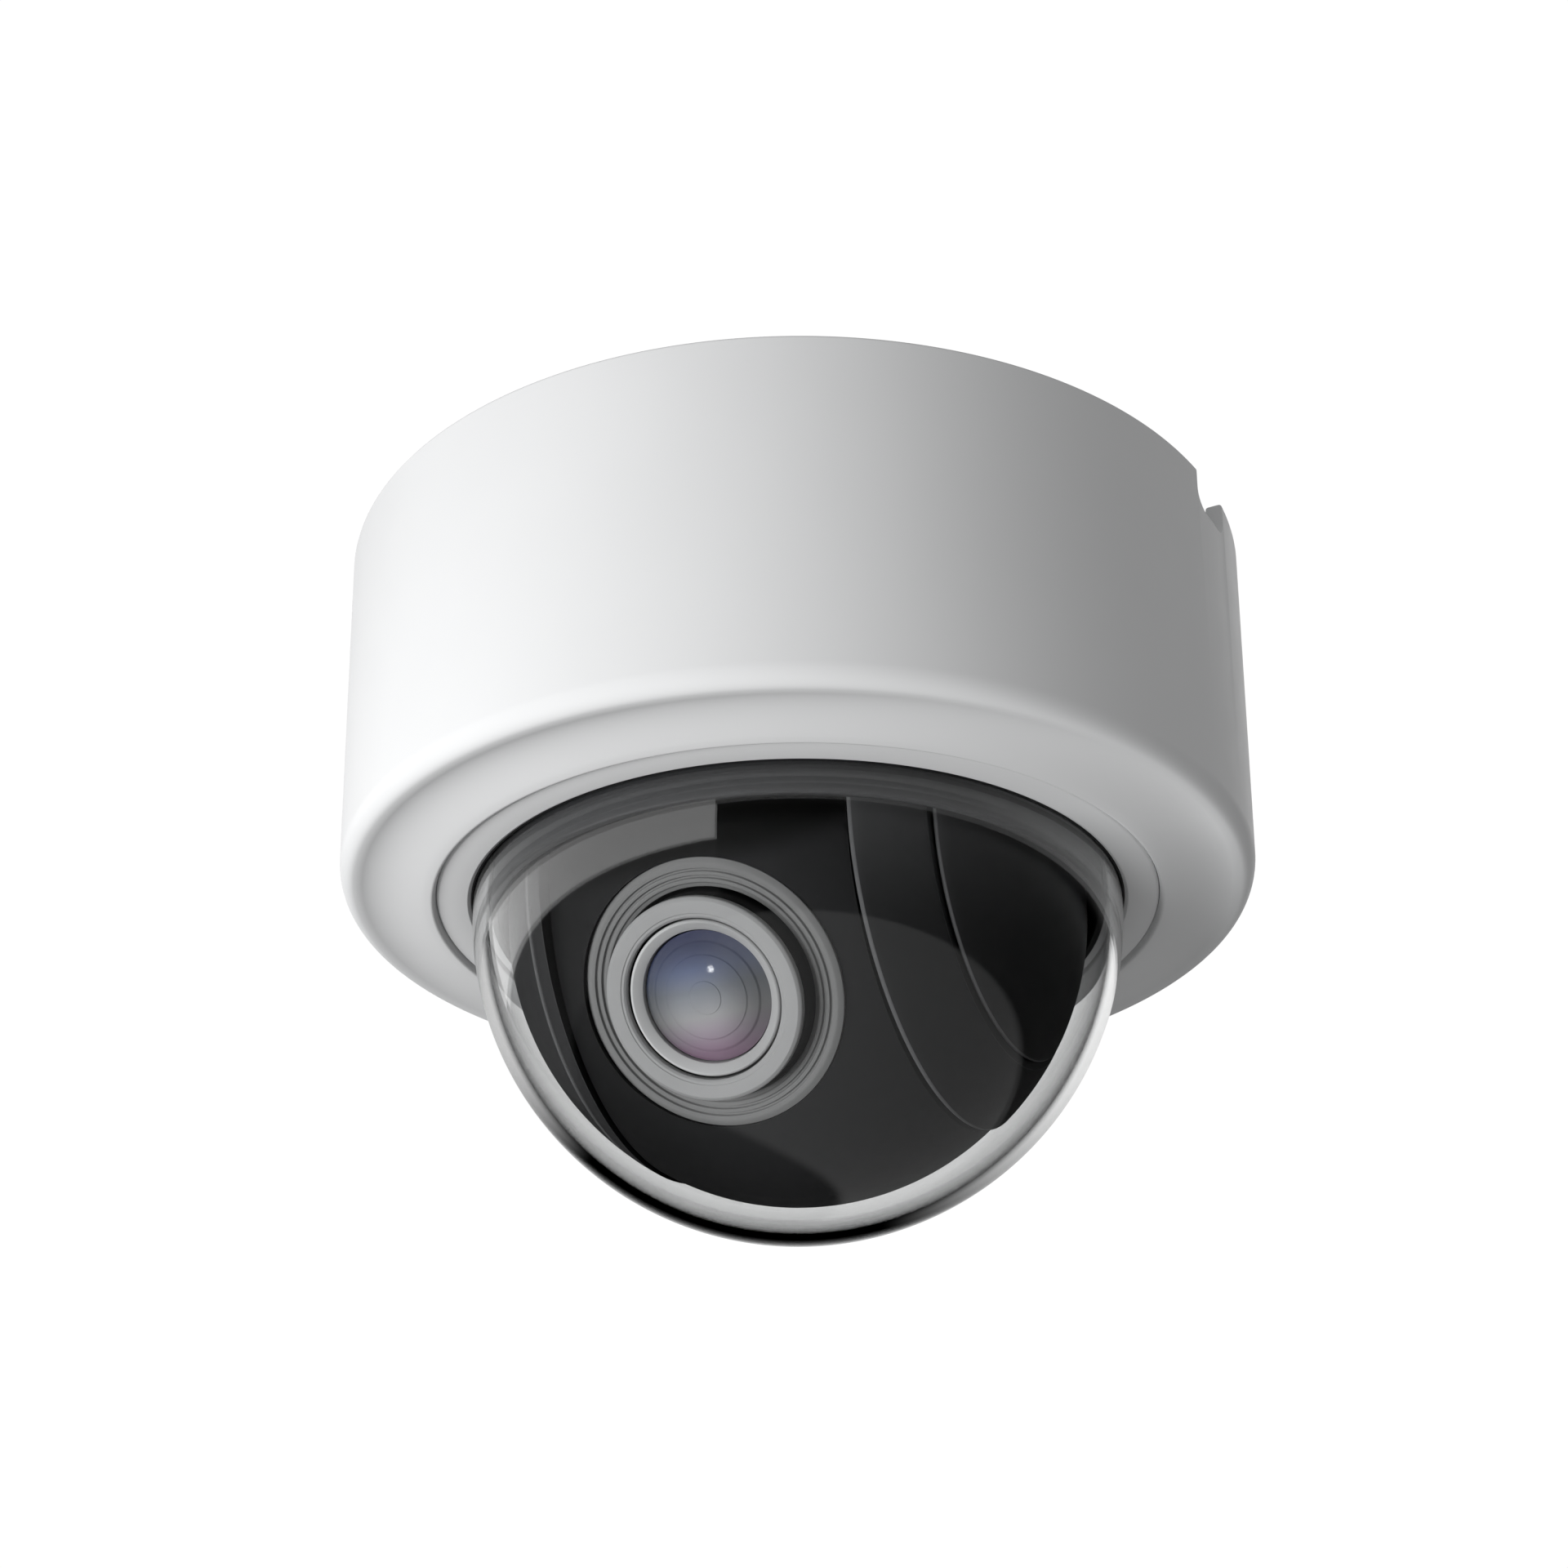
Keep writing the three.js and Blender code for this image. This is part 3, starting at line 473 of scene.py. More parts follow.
def block(name, x, y, z, place, rounding=0.2):
    """A box between two corners with its edges rounded."""
    bm = bmesh.new()
    size = Matrix.Diagonal((x[1] - x[0], y[1] - y[0], z[1] - z[0], 1))
    middle = Matrix.Translation(((x[0] + x[1]) / 2, (y[0] + y[1]) / 2, (z[0] + z[1]) / 2))
    bmesh.ops.create_cube(bm, size=1.0, matrix=middle @ size)
    if rounding > 0:
        bmesh.ops.bevel(bm, geom=bm.edges[:], offset=rounding, segments=2, profile=0.5,
                        affect="EDGES")
    return make(name, bm, place)


def slab(name, outline, low, high, place, rounding=0.2, sharp=CREASE):
    """A flat plate from a closed 2-D outline."""
    bm = bmesh.new()
    base = [bm.verts.new((p[0], p[1], low)) for p in outline]
    face = bm.faces.new(base)
    grown = bmesh.ops.extrude_face_region(bm, geom=[face])
    top = [v for v in grown["geom"] if isinstance(v, bmesh.types.BMVert)]
    bmesh.ops.translate(bm, verts=top, vec=(0, 0, high - low))
    made = make(name, bm, place, sharp)
    if rounding > 0:
        soften(made, rounding)
    return made


def applied(thing):
    """Replaces the object's mesh by what its modifiers make of it."""
    graph = bpy.context.evaluated_depsgraph_get()
    graph.update()
    mesh = bpy.data.meshes.new_from_object(thing.evaluated_get(graph))
    thing.modifiers.clear()
    thing.data = mesh


def carve(thing, *others, operation="DIFFERENCE", sharp=CREASE):
    """Cuts by, joins with or keeps the overlap of other objects, which are then deleted."""
    for other in others:
        tool = thing.modifiers.new("cut", "BOOLEAN")
        tool.operation = operation
        tool.solver = "EXACT"
        tool.object = other
        applied(thing)
        bpy.data.objects.remove(other)
    crease(thing, sharp)
    return thing


def soften(thing, width, segments=2, edge=None):
    """Rounds the sharp edges by width in millimetres, in a second finish if one is given: the
    painted edge highlight.
    """
    tool = thing.modifiers.new("edge", "BEVEL")
    if edge:
        thing.data.materials.clear()
        thing.data.materials.append(edge)
        thing.data.materials.append(edge)
        tool.material = 1
    tool.width = width * MM
    tool.segments = segments
    tool.limit_method = "ANGLE"
    tool.angle_limit = math.radians(CREASE)
    tool.use_clamp_overlap = True
    tool.harden_normals = False
    applied(thing)
    crease(thing, 48.0)
    return thing


def highlight_seam_edges(thing, place, low, high):
    """Gives faces between two heights, within 1 mm of the cheeks' radius, the second finish: the
    painted edge highlight along the seams.
    """
    local = place.inverted()
    for face in thing.data.polygons:
        spot = local @ (face.center / MM)
        if low < spot.z < high and spot.length > CHEEK_R - 1:
            face.material_index = 1


def merge(first, *others):
    """Puts other objects' meshes into the first, as separate shells of one piece."""
    bm = bmesh.new()
    for thing in (first, *others):
        bm.from_mesh(thing.data)
    bm.to_mesh(first.data)
    bm.free()
    for thing in others:
        bpy.data.objects.remove(thing)
    return first


def put(thing, body, finish, *nodes):
    """Gives a piece its body, its finish, and the nodes it stands for."""
    if len(thing.data.materials) == 2:
        thing.data.materials[0] = finish
    else:
        thing.data.materials.clear()
        thing.data.materials.append(finish)
    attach(thing, body)
    if nodes:
        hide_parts(*nodes)
    return thing


def around(count, first, radius):
    """Points evenly round a circle, the first at an angle in degrees."""
    turns = [math.radians(first + 360 * i / count) for i in range(count)]
    return [(radius * math.cos(t), radius * math.sin(t)) for t in turns]


# ---- Housing, bubble ring, bubble and liner ----


def lower_face(steps):
    """The drum's underside from its fillet inwards: a low swell that falls to the step."""
    outer = WALL_R - 2.8
    shares = [i / steps for i in range(steps + 1)]
    return [(outer + (STEP_R - outer) * t, FACE_Z + 2.7 * t * (1 - t) ** 2 - 1.7 * t ** 1.6)
            for t in shares]


def wall_fillet(steps):
    turns = [math.pi / 2 * i / steps for i in range(steps + 1)]
    return [(WALL_R - 2.1 * (1 - math.cos(t)), FACE_Z + 3.0 * (1 - math.sin(t))) for t in turns]


def cable_notch():
    half, low, corner = 5.2, RIM_Z - 6.1, 3.0
    outline = fillet([(-half, 3, 0), (-half, low, corner), (half, low, corner), (half, 3, 0)], 0,
                     steps=8)
    turn = rotation(-26.6, "Z")
    stand = rotation(90, "Z") @ rotation(90, "X")
    return slab("notch_tool", outline, 58, 72, turn @ stand, rounding=0)


def make_housing():
    floor = FACE_Z + 1.9
    outline = [(RIM_R, RIM_Z, 0.5), *wall_fillet(14), *lower_face(24)[:-4],
               (STEP_R, FACE_Z - 1.7, 0.9), (STEP_R - 0.3, FACE_Z - 0.6, 0.1),
               (STEP_R - 0.3, floor, 0.2), (52.8, floor), (58, floor + 0.6),
               (60.8, floor + 0.9), (WALL_R - WALL, FACE_Z + 6.8), (RIM_R - WALL, RIM_Z, 0.4)]
    shell = make("housing", spin(fillet(outline, 0), 288), ROOT)
    carve(shell, cable_notch())
    soften(shell, 0.3, 3)
    bosses = [ring(f"boss{i}", 1.7, 3.4, floor - 0.2, CHASSIS_HIGH.z - 2.3, ROOT, x, y)
              for i, (x, y) in enumerate(around(3, 0, SCREW_CIRCLE))]
    put(merge(shell, *bosses), "root", WHITE, "housing_shell")


def make_bubble_ring():
    seat = FLANGE_Z - 1.4
    low = FACE_Z - 1.05
    outline = [(46.0, low + 0.2, 0.15), (46.5, low - 0.1, 0.3), (50.85, FACE_Z - 1.0, 0.6),
               (50.85, seat - 1.5, 0.1), (52.4, seat - 1.5, 0.2),
               (52.4, seat, 0.2), (46.0, seat, 0.2)]
    made = make("bubble_collar", spin(fillet(outline, 0, steps=5), 256), ROOT)
    put(made, "root", WHITE, "bubble_ring")


def make_bubble():
    inner = BUBBLE_R - BUBBLE_WALL
    top = FLANGE_Z + 1.6
    outline = [(0, BUBBLE_Z - BUBBLE_R), *arc(BUBBLE_R, BUBBLE_Z, -89, 0, 120),
               (BUBBLE_R, FLANGE_Z), (51, FLANGE_Z), (51, top), (inner, top),
               *arc(inner, BUBBLE_Z, 0, -89, 120), (0, BUBBLE_Z - inner)]
    made = make("bubble", spin(outline, 384, False), ROOT)
    put(made, "root", BUBBLE, "dome_bubble")
    lip = fillet([(46.2, FLANGE_Z - 1.1), (52, FLANGE_Z - 1.1), (52, FLANGE_Z - 0.3),
                  (46.2, FLANGE_Z - 0.3)], 0.15)
    gasket = make("gasket", spin(lip, 192), ROOT)
    seal_z = FACE_Z - 0.75
    seal = make("seal", spin(fillet([(45.75, seal_z - 0.2), (45.95, seal_z - 0.2),
                                     (45.95, seal_z + 0.5), (45.75, seal_z + 0.5)], 0.05), 256),
                ROOT)
    put(merge(gasket, seal), "root", RUBBER, "bubble_gasket")


def make_liner():
    inner, outer = 42.0, 43.2
    seat = FLANGE_Z + 1.9
    outline = [(inner, LINER_LOW.z, 0.3), (outer, LINER_LOW.z, 0.3), (outer, seat, 0.1),
               (51, seat), (51, seat + 1.3), (outer, seat + 1.3), (outer, LINER_HIGH.z),
               (inner, LINER_HIGH.z)]
    made = make("bubble_liner", spin(fillet(outline, 0.2), 192), ROOT)
    put(made, "root", DARK, "liner_ring")


# ---- Ceiling plate, chassis and what stands on it ----


def make_mounting_plate():
    outline = [(0, PLATE_LOW.z), (56, PLATE_LOW.z, 0.6), (56, 0, 0.5), (0, 0)]
    plate = make("ceiling_plate", spin(fillet(outline, 0, False), 192, False), ROOT)
    tools = [drill(11, -5, 3, ROOT, 34, -17, 64)]
    tools += [drill(2.4, -5, 3, ROOT, x, y, 32) for x, y in around(3, 70, 36)]
    # Shallow pressed recesses on the lower side, so that the top stays flat.
    tools += [drill(5.2, -5, PLATE_LOW.z + 0.5, ROOT, x, y, 32) for x, y in around(3, 70, 36)]
    carve(plate, *tools)
    soften(plate, 0.15)
    put(plate, "root", STEEL, "mounting_plate")
    for i, (x, y) in enumerate(around(3, 60, 45)):
        low, high = CHASSIS_HIGH.z + 0.3, PLATE_LOW.z - 0.3
        outline = [(0, low), (4, low), (4, low + 1.4), (3.2, low + 1.9), (3.2, high - 1.6),
                   (4, high - 1.1), (4, high), (0, high)]
        place = Matrix.Translation((x, y, 0))
        post = turned(f"plate_post_{i + 1}", outline, place, 72, False)
        put(post, "root", BRUSHED, f"mounting_post_{i + 1}")


def make_chassis():
    low, high = CHASSIS_HIGH.z - 2, CHASSIS_HIGH.z
    outline = [(9.6, high), (60.4, high), (60.4, low), (16, low), (16, CHASSIS_LOW.z),
               (13.3, CHASSIS_LOW.z), (13.3, low), (9.6, low)]
    disc = make("chassis", spin(fillet(outline, 0.3), 192), ROOT)
    tools = [drill(8.3, low - 1, high + 1, ROOT, LEAD_X, LEAD_Y)]
    tools += [drill(1.8, low - 1, high + 1, ROOT, x, y, 24) for x, y in around(3, 0, SCREW_CIRCLE)]
    # Shallow cast pockets between the ribs of the top face.
    for start in (40, 95, 215, 275):
        points = [(r * math.cos(math.radians(a)), r * math.sin(math.radians(a)))
                  for r, angles in ((20, range(start, start + 31, 5)),
                                    (34, range(start + 30, start - 1, -5))) for a in angles]
        tools.append(slab("t", points, high - 0.7, high + 1, ROOT, rounding=0))
    carve(disc, *tools)
    soften(disc, 0.2)
    put(disc, "root", ALLOY, "chassis_plate")


def make_gland():
    low = CHASSIS_HIGH.z - 4
    seat = CHASSIS_HIGH.z + 0.3
    outline = [(4.2, low, 0.5), (7.0, low, 0.4), (8.0, low + 1.8, 0.3), (8.0, seat, 0.1),
               (10.5, seat), (10.5, seat + 1.4, 0.6), (7.4, seat + 1.4, 0.3),
               (6.9, seat + 1.0, 0.2), (6.0, seat + 1.4, 0.3), (4.2, seat + 1.4, 0.5)]
    made = turned("lead_gland", outline, Matrix.Translation((LEAD_X, LEAD_Y, 0)), 72, True, 0.2)
    put(made, "root", RUBBER, "cable_gland")


def screw(name, x, y, seat, radius, height, shank, depth):
    """A pan-head screw with a cross recess."""
    outline = [(0, seat - depth), (shank * 0.6, seat - depth), (shank, seat - depth + 1),
               (shank, seat), (radius, seat), (radius, seat + height * 0.5, height * 0.5),
               (radius * 0.55, seat + height, 0.4), (0, seat + height)]
    at = Matrix.Translation((x, y, 0))
    made = turned(name, outline, at, 40, False, 0.1)
    top = (seat + height * 0.35, seat + height + 1)
    reach, half = radius * 0.52, radius * 0.13
    arms = [block("t", (-reach, reach), (-half, half), top, at, 0),
            block("t", (-half, half), (-reach, reach), top, at, 0)]
    return carve(made, *arms)


def make_shell_screws():
    for i, (x, y) in enumerate(around(3, 0, SCREW_CIRCLE)):
        made = screw(f"housing_screw_{i + 1}", x, y, CHASSIS_HIGH.z + 0.3, 2.6, 1.6, 1.3, 8.5)
        put(made, "root", STEEL, f"shell_screw_{i + 1}")


def make_card_slot_and_switch():
    low = CHASSIS_HIGH.z + 0.3
    cage = block("card_cage", (-43, -29), (-25, -11), (low, low + 2.6), ROOT, 0.25)
    carve(cage, block("t", (-44, -31), (-23.6, -12.4), (low + 0.7, low + 1.8), ROOT, 0),
          block("t", (-40, -36), (-20, -16), (low + 2.2, low + 3), ROOT, 0))
    put(cage, "root", BRUSHED, "card_slot")
    card_leads = [block("lead", (-30.5, -29.6), (y, y + 0.7), (low + 0.9, low + 1.5), ROOT, 0.05)
                  for y in (-22.5, -20.7, -18.9, -17.1, -15.3, -13.5)]
    put(merge(*card_leads), "root", BRASS)
    x, y = -36, 17
    base = block("switch_base", (x - 3.1, x + 3.1), (y - 3.1, y + 3.1), (low, low + 2), ROOT, 0.2)
    carve(base, drill(1.9, low + 0.8, low + 3, ROOT, x, y, 32))
    put(base, "root", BLACK, "reset_switch")
    outline = [(0, low + 1.4), (1.6, low + 1.4), (1.6, low + 3.2, 0.3), (0.9, low + 3.2, 0.2),
               (0.6, low + 3.0, 0.1), (0, low + 3.0)]
    cap = turned("switch_cap", outline, Matrix.Translation((x, y, 0)), 40, False, 0.1)
    put(cap, "reset_button", NYLON, "reset_button")


# ---- Boards ----


def make_main_board():
    top, edge, radius = -13.0, 18.5, 52.0
    angle = math.degrees(math.acos(-edge / radius))
    steps = 48
    outline = arc(radius, 0, angle, 360 - angle, steps)
    board = slab("main_circuit_board", outline, top - 1.6, top, ROOT, 0.1)
    put(board, "root", SOLDER_MASK, "main_board")
    under = top - 1.9
    chip = block("processor_chip", (-44, -28), (-8, 8), (under - 2, under), ROOT, 0.25)
    put(chip, "root", CHIP, "processor")
    coil = block("network_coil", (-40, -26), (18, 30), (under - 7, under), ROOT, 0.4)
    put(coil, "root", CHIP, "network_transformer")
    can = [(0, under - 10), (2.6, under - 10), (2.8, under - 9.7), (4, under - 10, 0.4),
           (4, under - 2.4), (3.7, under - 2.0), (4, under - 1.6), (4, under), (0, under)]
    made = turned("power_can", can, Matrix.Translation((-32, -24, 0)), 48, False, 0.15)
    put(made, "root", ALLOY, "power_capacitor")
    parts = []
    for i, (x, y) in enumerate([(-48, -14), (-48, 12), (-22, -14), (-22, 2), (-22, 12),
                                (-46, -20), (-40, -34), (-34, -38), (-46, 20), (-36, 36)]):
        size = (1.6, 0.9, 0.7) if i % 2 else (2.2, 3.0, 1.1)
        parts.append(block("part", (x - size[0], x + size[0]), (y - size[1], y + size[1]),
                           (under - size[2], top - 1.6), ROOT, 0.1))
    put(merge(*parts), "root", CHIP)
    for i, y in enumerate((38, -38)):
        low, high = top + 0.3, CHASSIS_HIGH.z - 2.3
        place = Matrix.Translation((-24, y, 0))
        post = turned(f"board_post_{i + 1}", [(0, low), (2, low), (2, high), (0, high)], place,
                      6, False, 0.1, 20.0)
        put(post, "root", BRASS, f"board_standoff_{i + 1}")


# ---- Drives ----


def gear_outline(module, teeth, gap_first, clock=0.0):
    """A spur gear's outline with rounded-flank teeth no fatter than the frame's."""
    pitch = module * teeth / 2
    step = 2 * math.pi / teeth
    flank = [(-1.0, 0.285), (-0.6, 0.25), (-0.2, 0.22), (0.2, 0.18), (0.55, 0.135), (0.8, 0.09)]
    outline = []
    for tooth in range(teeth):
        middle = (tooth + (0.5 if gap_first else 0)) * step + clock
        side = [(pitch + module * h, -w) for h, w in flank]
        side += [(pitch + module * h, w) for h, w in reversed(flank)]
        for radius, share in side:
            angle = middle + share * step
            outline.append((radius * math.cos(angle), radius * math.sin(angle)))
    return outline


def gear(name, module, teeth, bore, low, high, place, gap_first=False, clock=0.0, web=None):
    made = slab(name, gear_outline(module, teeth, gap_first, clock), low, high, place, 0,
                sharp=32.0)
    tools = [drill(bore, low - 1, high + 1, place)] if bore else []
    if web:
        inner, outer, deep = web
        for base, top in ((high - deep, high + 1), (low - 1, low + deep)):
            tools.append(ring("t", inner, outer, base, top, place, 0, 0, 0))
    if tools:
        carve(made, *tools, sharp=32.0)
    return made


def make_pan_drive():
    motor_x = PAN_MODULE * sum(PAN_TEETH) / 2 + GEAR_SLACK
    top = CHASSIS_HIGH.z - 2.3
    place = Matrix.Translation((motor_x, 0, 0))
    outline = [(0, -20), (3.2, -20), (3.2, -19.4), (9.2, -19.4, 0.5), (10, -18.6, 0.5),
               (10, top), (0, top)]
    can = turned("pan_motor_can", outline, place, 72, False, 0.2)
    ears = slab("ears", fillet([(-3.5, -15, 3.4), (3.5, -15, 3.4), (3.5, 15, 3.4),
                                (-3.5, 15, 3.4)], 3.4, steps=8), top - 1, top - 0.02, place, 0.1)
    put(merge(can, ears), "root", STEEL, "pan_motor")
    pinion = gear("pan_pinion_wheel", PAN_MODULE, PAN_TEETH[0], 0, -24.4, -21.4, place, True,
                  math.pi)
    shaft = rod("s", 1.2, -23, -20.3, place)
    put(merge(pinion, shaft), "pan_pinion", NYLON, "pan_pinion")
    wheel = gear("pan_gear_wheel", PAN_MODULE, PAN_TEETH[1], 9.5, -24.4, -21.4, ROOT,
                 web=(12.5, 21, 0.7))
    put(wheel, "pan_head", NYLON, "pan_gear")
    make_race("pan_race_outer", 11.6, 13, -16.6, -10.9, ROOT, "root", "pan_bearing_outer")
    make_race("pan_race_inner", 9.3, 11.1, -16.6, -10.9, ROOT, "pan_head", "pan_bearing_inner")


def make_race(name, inner, outer, low, high, place, body, node_name):
    put(ring(name, inner, outer, low, high, place, rounding=0.3), body, BRUSHED, node_name)


def make_turntable():
    table = [(5.5, -27.6), (37, -27.6, 0.6), (37, -25.2, 0.4), (9, -25.2, 0.8), (9, -6, 0.3),
             (5.5, -6, 0.3)]
    made = make("pan_table", spin(fillet(table, 0.3), 144), HEAD)
    put(made, "pan_head", CHARCOAL, "turntable")
    low = CHASSIS_HIGH.z + 0.3
    nut = ring("hub_lock_nut", 9.3, 13, low, -6.3, HEAD)
    slots = [block("t", (x - 1, x + 1), (y - 1, y + 1), (low + 1, -5), HEAD, 0)
             for x, y in around(6, 15, 13)]
    put(carve(nut, *slots), "pan_head", BRUSHED, "hub_nut")


def make_tilt_drive():
    axis = across(HEAD, TILT_Z)
    centres = TILT_MODULE * sum(TILT_TEETH) / 2 + GEAR_SLACK
    up = across(HEAD, TILT_Z + centres)
    outline = [(0, 28.4), (5.5, 28.4, 0.2), (5.5, 33.0, 0.6), (4.6, 33.5, 0.2), (0, 33.5)]
    put(turned("tilt_motor_can", outline, up, 56, False, 0.2), "pan_head", STEEL, "tilt_motor")
    pinion = gear("tilt_pinion_wheel", TILT_MODULE, TILT_TEETH[0], 0, 22.8, 24.6, up, True)
    shaft = rod("s", 1.0, 23.3, 28.1, up, segments=32)
    put(merge(pinion, shaft), "tilt_pinion", NYLON, "tilt_pinion")
    wheel = gear("tilt_gear_wheel", TILT_MODULE, TILT_TEETH[1], 3.0, 22.8, 24.6, axis)
    put(wheel, "camera_ball", NYLON, "tilt_gear")
    for name, low, high, node_name in (("tilt_race_left", -23.9, -21.8, "tilt_bearing_left"),
                                       ("tilt_race_right", 26, 28, "tilt_bearing_right")):
        make_race(name, 2.7, 5.0, low, high, axis, "pan_head", node_name)
    for name, low, high, node_name in (("pivot_left", -25.5, -15.3, "tilt_shaft_left"),
                                       ("pivot_right", 18.3, 29.5, "tilt_shaft_right")):
        put(rod(name, 2.4, low, high, axis, rounding=0.3), "camera_ball", BRUSHED, node_name)


# ---- Fork ----


def above_fork():
    return block("t", (-60, 60), (-60, 60), (FORK_TOP, 20), HEAD, 0)


def make_fork():
    axis = across(HEAD, BUBBLE_Z)
    tilt = across(HEAD, TILT_Z)
    inside = CHEEK_R - 2

    def reach(x, radius=inside):
        return math.sqrt(radius ** 2 - x ** 2)

    left = [(0, -21.8), (30, -21.8), (31.5, -21.4, 0.5)]
    left += band(CHEEK_R, -21.4, -23.9, 8) + [(0, -23.9)]
    arm = make("fork_arm_left", spin(fillet(left, 0, False), 192, False), axis)
    carve(arm, above_fork(), drill(5.3, -30, -15, tilt))
    # The rounded edges and seam bands take the painted edge highlight.
    soften(arm, 0.45, 3, edge=EDGE_HIGHLIGHT)
    put(arm, "pan_head", CHARCOAL, "left_fork_arm")

    right = [(0, 26), (reach(26), 26, 0.6), (reach(22.7), 22.7), (reach(22.7, CHEEK_R), 22.7, 0.9)]
    right += band(CHEEK_R, 24.2, 30.9, 16)
    right += [(reach(30.9), 30.9), (reach(28), 28, 0.6), (0, 28)]
    arm = make("fork_arm_right", spin(fillet(right, 0, False), 192, False), axis)
    carve(arm, above_fork(), drill(5.3, 20, 35, tilt),
          drill(1.6, 20, 35, across(HEAD, TILT_Z + 12.9), segments=32))
    soften(arm, 0.3, 3, edge=EDGE_HIGHLIGHT)
    highlight_seam_edges(arm, axis, 22.6, 23.65)
    # The right arm has painted light, lighter towards the top.
    put(arm, "pan_head", CHARCOAL_PAINTED_LIGHT, "right_fork_arm")

    for name, edge, sign, node_name in (("cover_left", 24.2, -1, "left_side_cover"),
                                        ("cover_right", 31.2, 1, "right_side_cover")):
        outer = [(reach(edge, CHEEK_R), edge, 0.8), *band(CHEEK_R, edge + 1.3, CHEEK_R - 1e-4, 38)]
        inner = band(inside, inside - 1e-4, edge, 36)
        outer[-1] = (0, CHEEK_R)
        inner[0] = (0, inside)
        # The outline runs from the pole outside, round the rim, back to the pole inside.
        outline = [(p[0], sign * p[1], *p[2:]) for p in outer[::-1] + inner[::-1]]
        cover = make(name, spin(fillet(outline, 0, False), 192, False), axis)
        if sign < 0:
            carve(cover, above_fork())
        # Rounded edges in the painted edge highlight.
        soften(cover, 0.3, 3, edge=EDGE_HIGHLIGHT)
        highlight_seam_edges(cover, axis, *sorted((sign * (edge - 0.1), sign * (edge + 0.85))))
        # The right cover has painted light, lighter towards the top.
        put(cover, "pan_head", CHARCOAL_PAINTED_LIGHT if sign > 0 else CHARCOAL, node_name)


# ---- Ball ----


def ball_blank(name, radius, left, right, top, back, bevel, steps):
    axis = across(BALL)
    outline = [(0, left), *band(radius, left, right, steps), (0, right)]
    blank_ball = make(name, spin([Vector(p) for p in outline], 192, False), axis)
    corner = BALL @ Matrix.Translation((0, bevel / 2, bevel / 2)) @ rotation(-45, "X")
    return carve(blank_ball,
                 block("t", (-50, 50), (-50, 50), (top, 60), BALL, 0),
                 block("t", (-50, 50), (back, 60), (-50, 50), BALL, 0),
                 block("t", (-50, 50), (-40, 40), (0, 60), corner, 0))


def make_ball():
    wall = 1.8
    whole = ball_blank("ball_front", BALL_R, BALL_LEFT, BALL_RIGHT, 26, 24, 34, 64)
    hollow = ball_blank("t", BALL_R - wall, BALL_LEFT + wall, BALL_RIGHT - wall, 26 - wall,
                        24 - wall, 34 - wall * math.sqrt(2), 48)
    carve(whole, hollow, drill(2.9, -30, 30, across(BALL)))
    rear = bpy.data.objects.new("ball_rear", whole.data.copy())
    show(rear)
    # The front half starts 6 mm behind the tilt axis.
    carve(whole, block("t", (-50, 50), (6, 60), (-50, 50), BALL, 0))
    # Rounded edges in the painted edge highlight.
    soften(whole, 0.45, 3, edge=EDGE_HIGHLIGHT)
    carve(whole, drill(BEZEL_R + 0.3, 20, 45, LENS, segments=192))
    # Painted shade on the ball's front: near-black towards its top, darker towards the left.
    put(whole, "camera_ball", CHARCOAL_PAINTED_SHADE, "ball_front_shell")
    carve(rear, block("t", (-50, 50), (-50, 6.3), (-50, 50), BALL, 0))
    soften(rear, 0.22)
    put(rear, "camera_ball", CHARCOAL, "ball_rear_shell")


def make_tilt_frame():
    bore = BARREL_R + 0.3
    collar = ring("lens_cradle", bore, 16.7, -3, 3, LENS)
    lugs = [block("lug", (-18.6, -12.9), (-3, 3), (-4, 4), BALL, 0.3),
            block("lug", (16.5, 20.1), (-3, 3), (-4, 4), BALL, 0.3)]
    axis = across(BALL)
    tools = [drill(2.7, -25, -15, axis), drill(2.7, 18, 25, axis)]
    carve(collar, *lugs, operation="UNION")
    carve(collar, drill(bore, -5, 5, LENS, segments=72), *tools)
    put(collar, "camera_ball", ALLOY, "tilt_frame")


def make_sensor_stack():
    x = LENS_X
    chip = block("imager", (x - 5, x + 5), (16.1, 17.3), (-4, 4), BALL, 0.15)
    put(chip, "camera_ball", CHIP, "image_sensor")
    board = block("imager_board", (x - 13, x + 13), (17.6, 18.8), (-12, 12), BALL, 0.1)
    put(board, "camera_ball", SOLDER_MASK, "sensor_board")
    base = block("imager_heat_sink", (x - 11, x + 11), (19.1, 19.9), (-12, 9), BALL, 0.15)
    fins = [block("fin", (x + f - 0.8, x + f + 0.8), (19.5, 21.8), (-12, 9), BALL, 0.15)
            for f in (-9, -3, 3, 9)]
    put(merge(base, *fins), "camera_ball", ALLOY, "heat_sink")
    pane = block("ir_filter_frame", (x - 9, x + 5), (14, 15.2), (-5.5, 5.5), BALL, 0.15)
    put(pane, "ir_cut_filter", FILTER, "ir_cut_filter")


# ---- Lens ----


def grooved(outline, grooves, wide, deep):
    """Adds turned grooves, each at a radius of the outline's flat front, to [r, z] points."""
    face = outline[-1][1]
    out = list(outline)
    for radius in sorted(grooves, reverse=True):
        out += [(radius + wide, face, 0.08), (radius + wide / 2, face - deep, 0.05),
                (radius - wide / 2, face - deep, 0.05), (radius - wide, face, 0.08)]
    return out


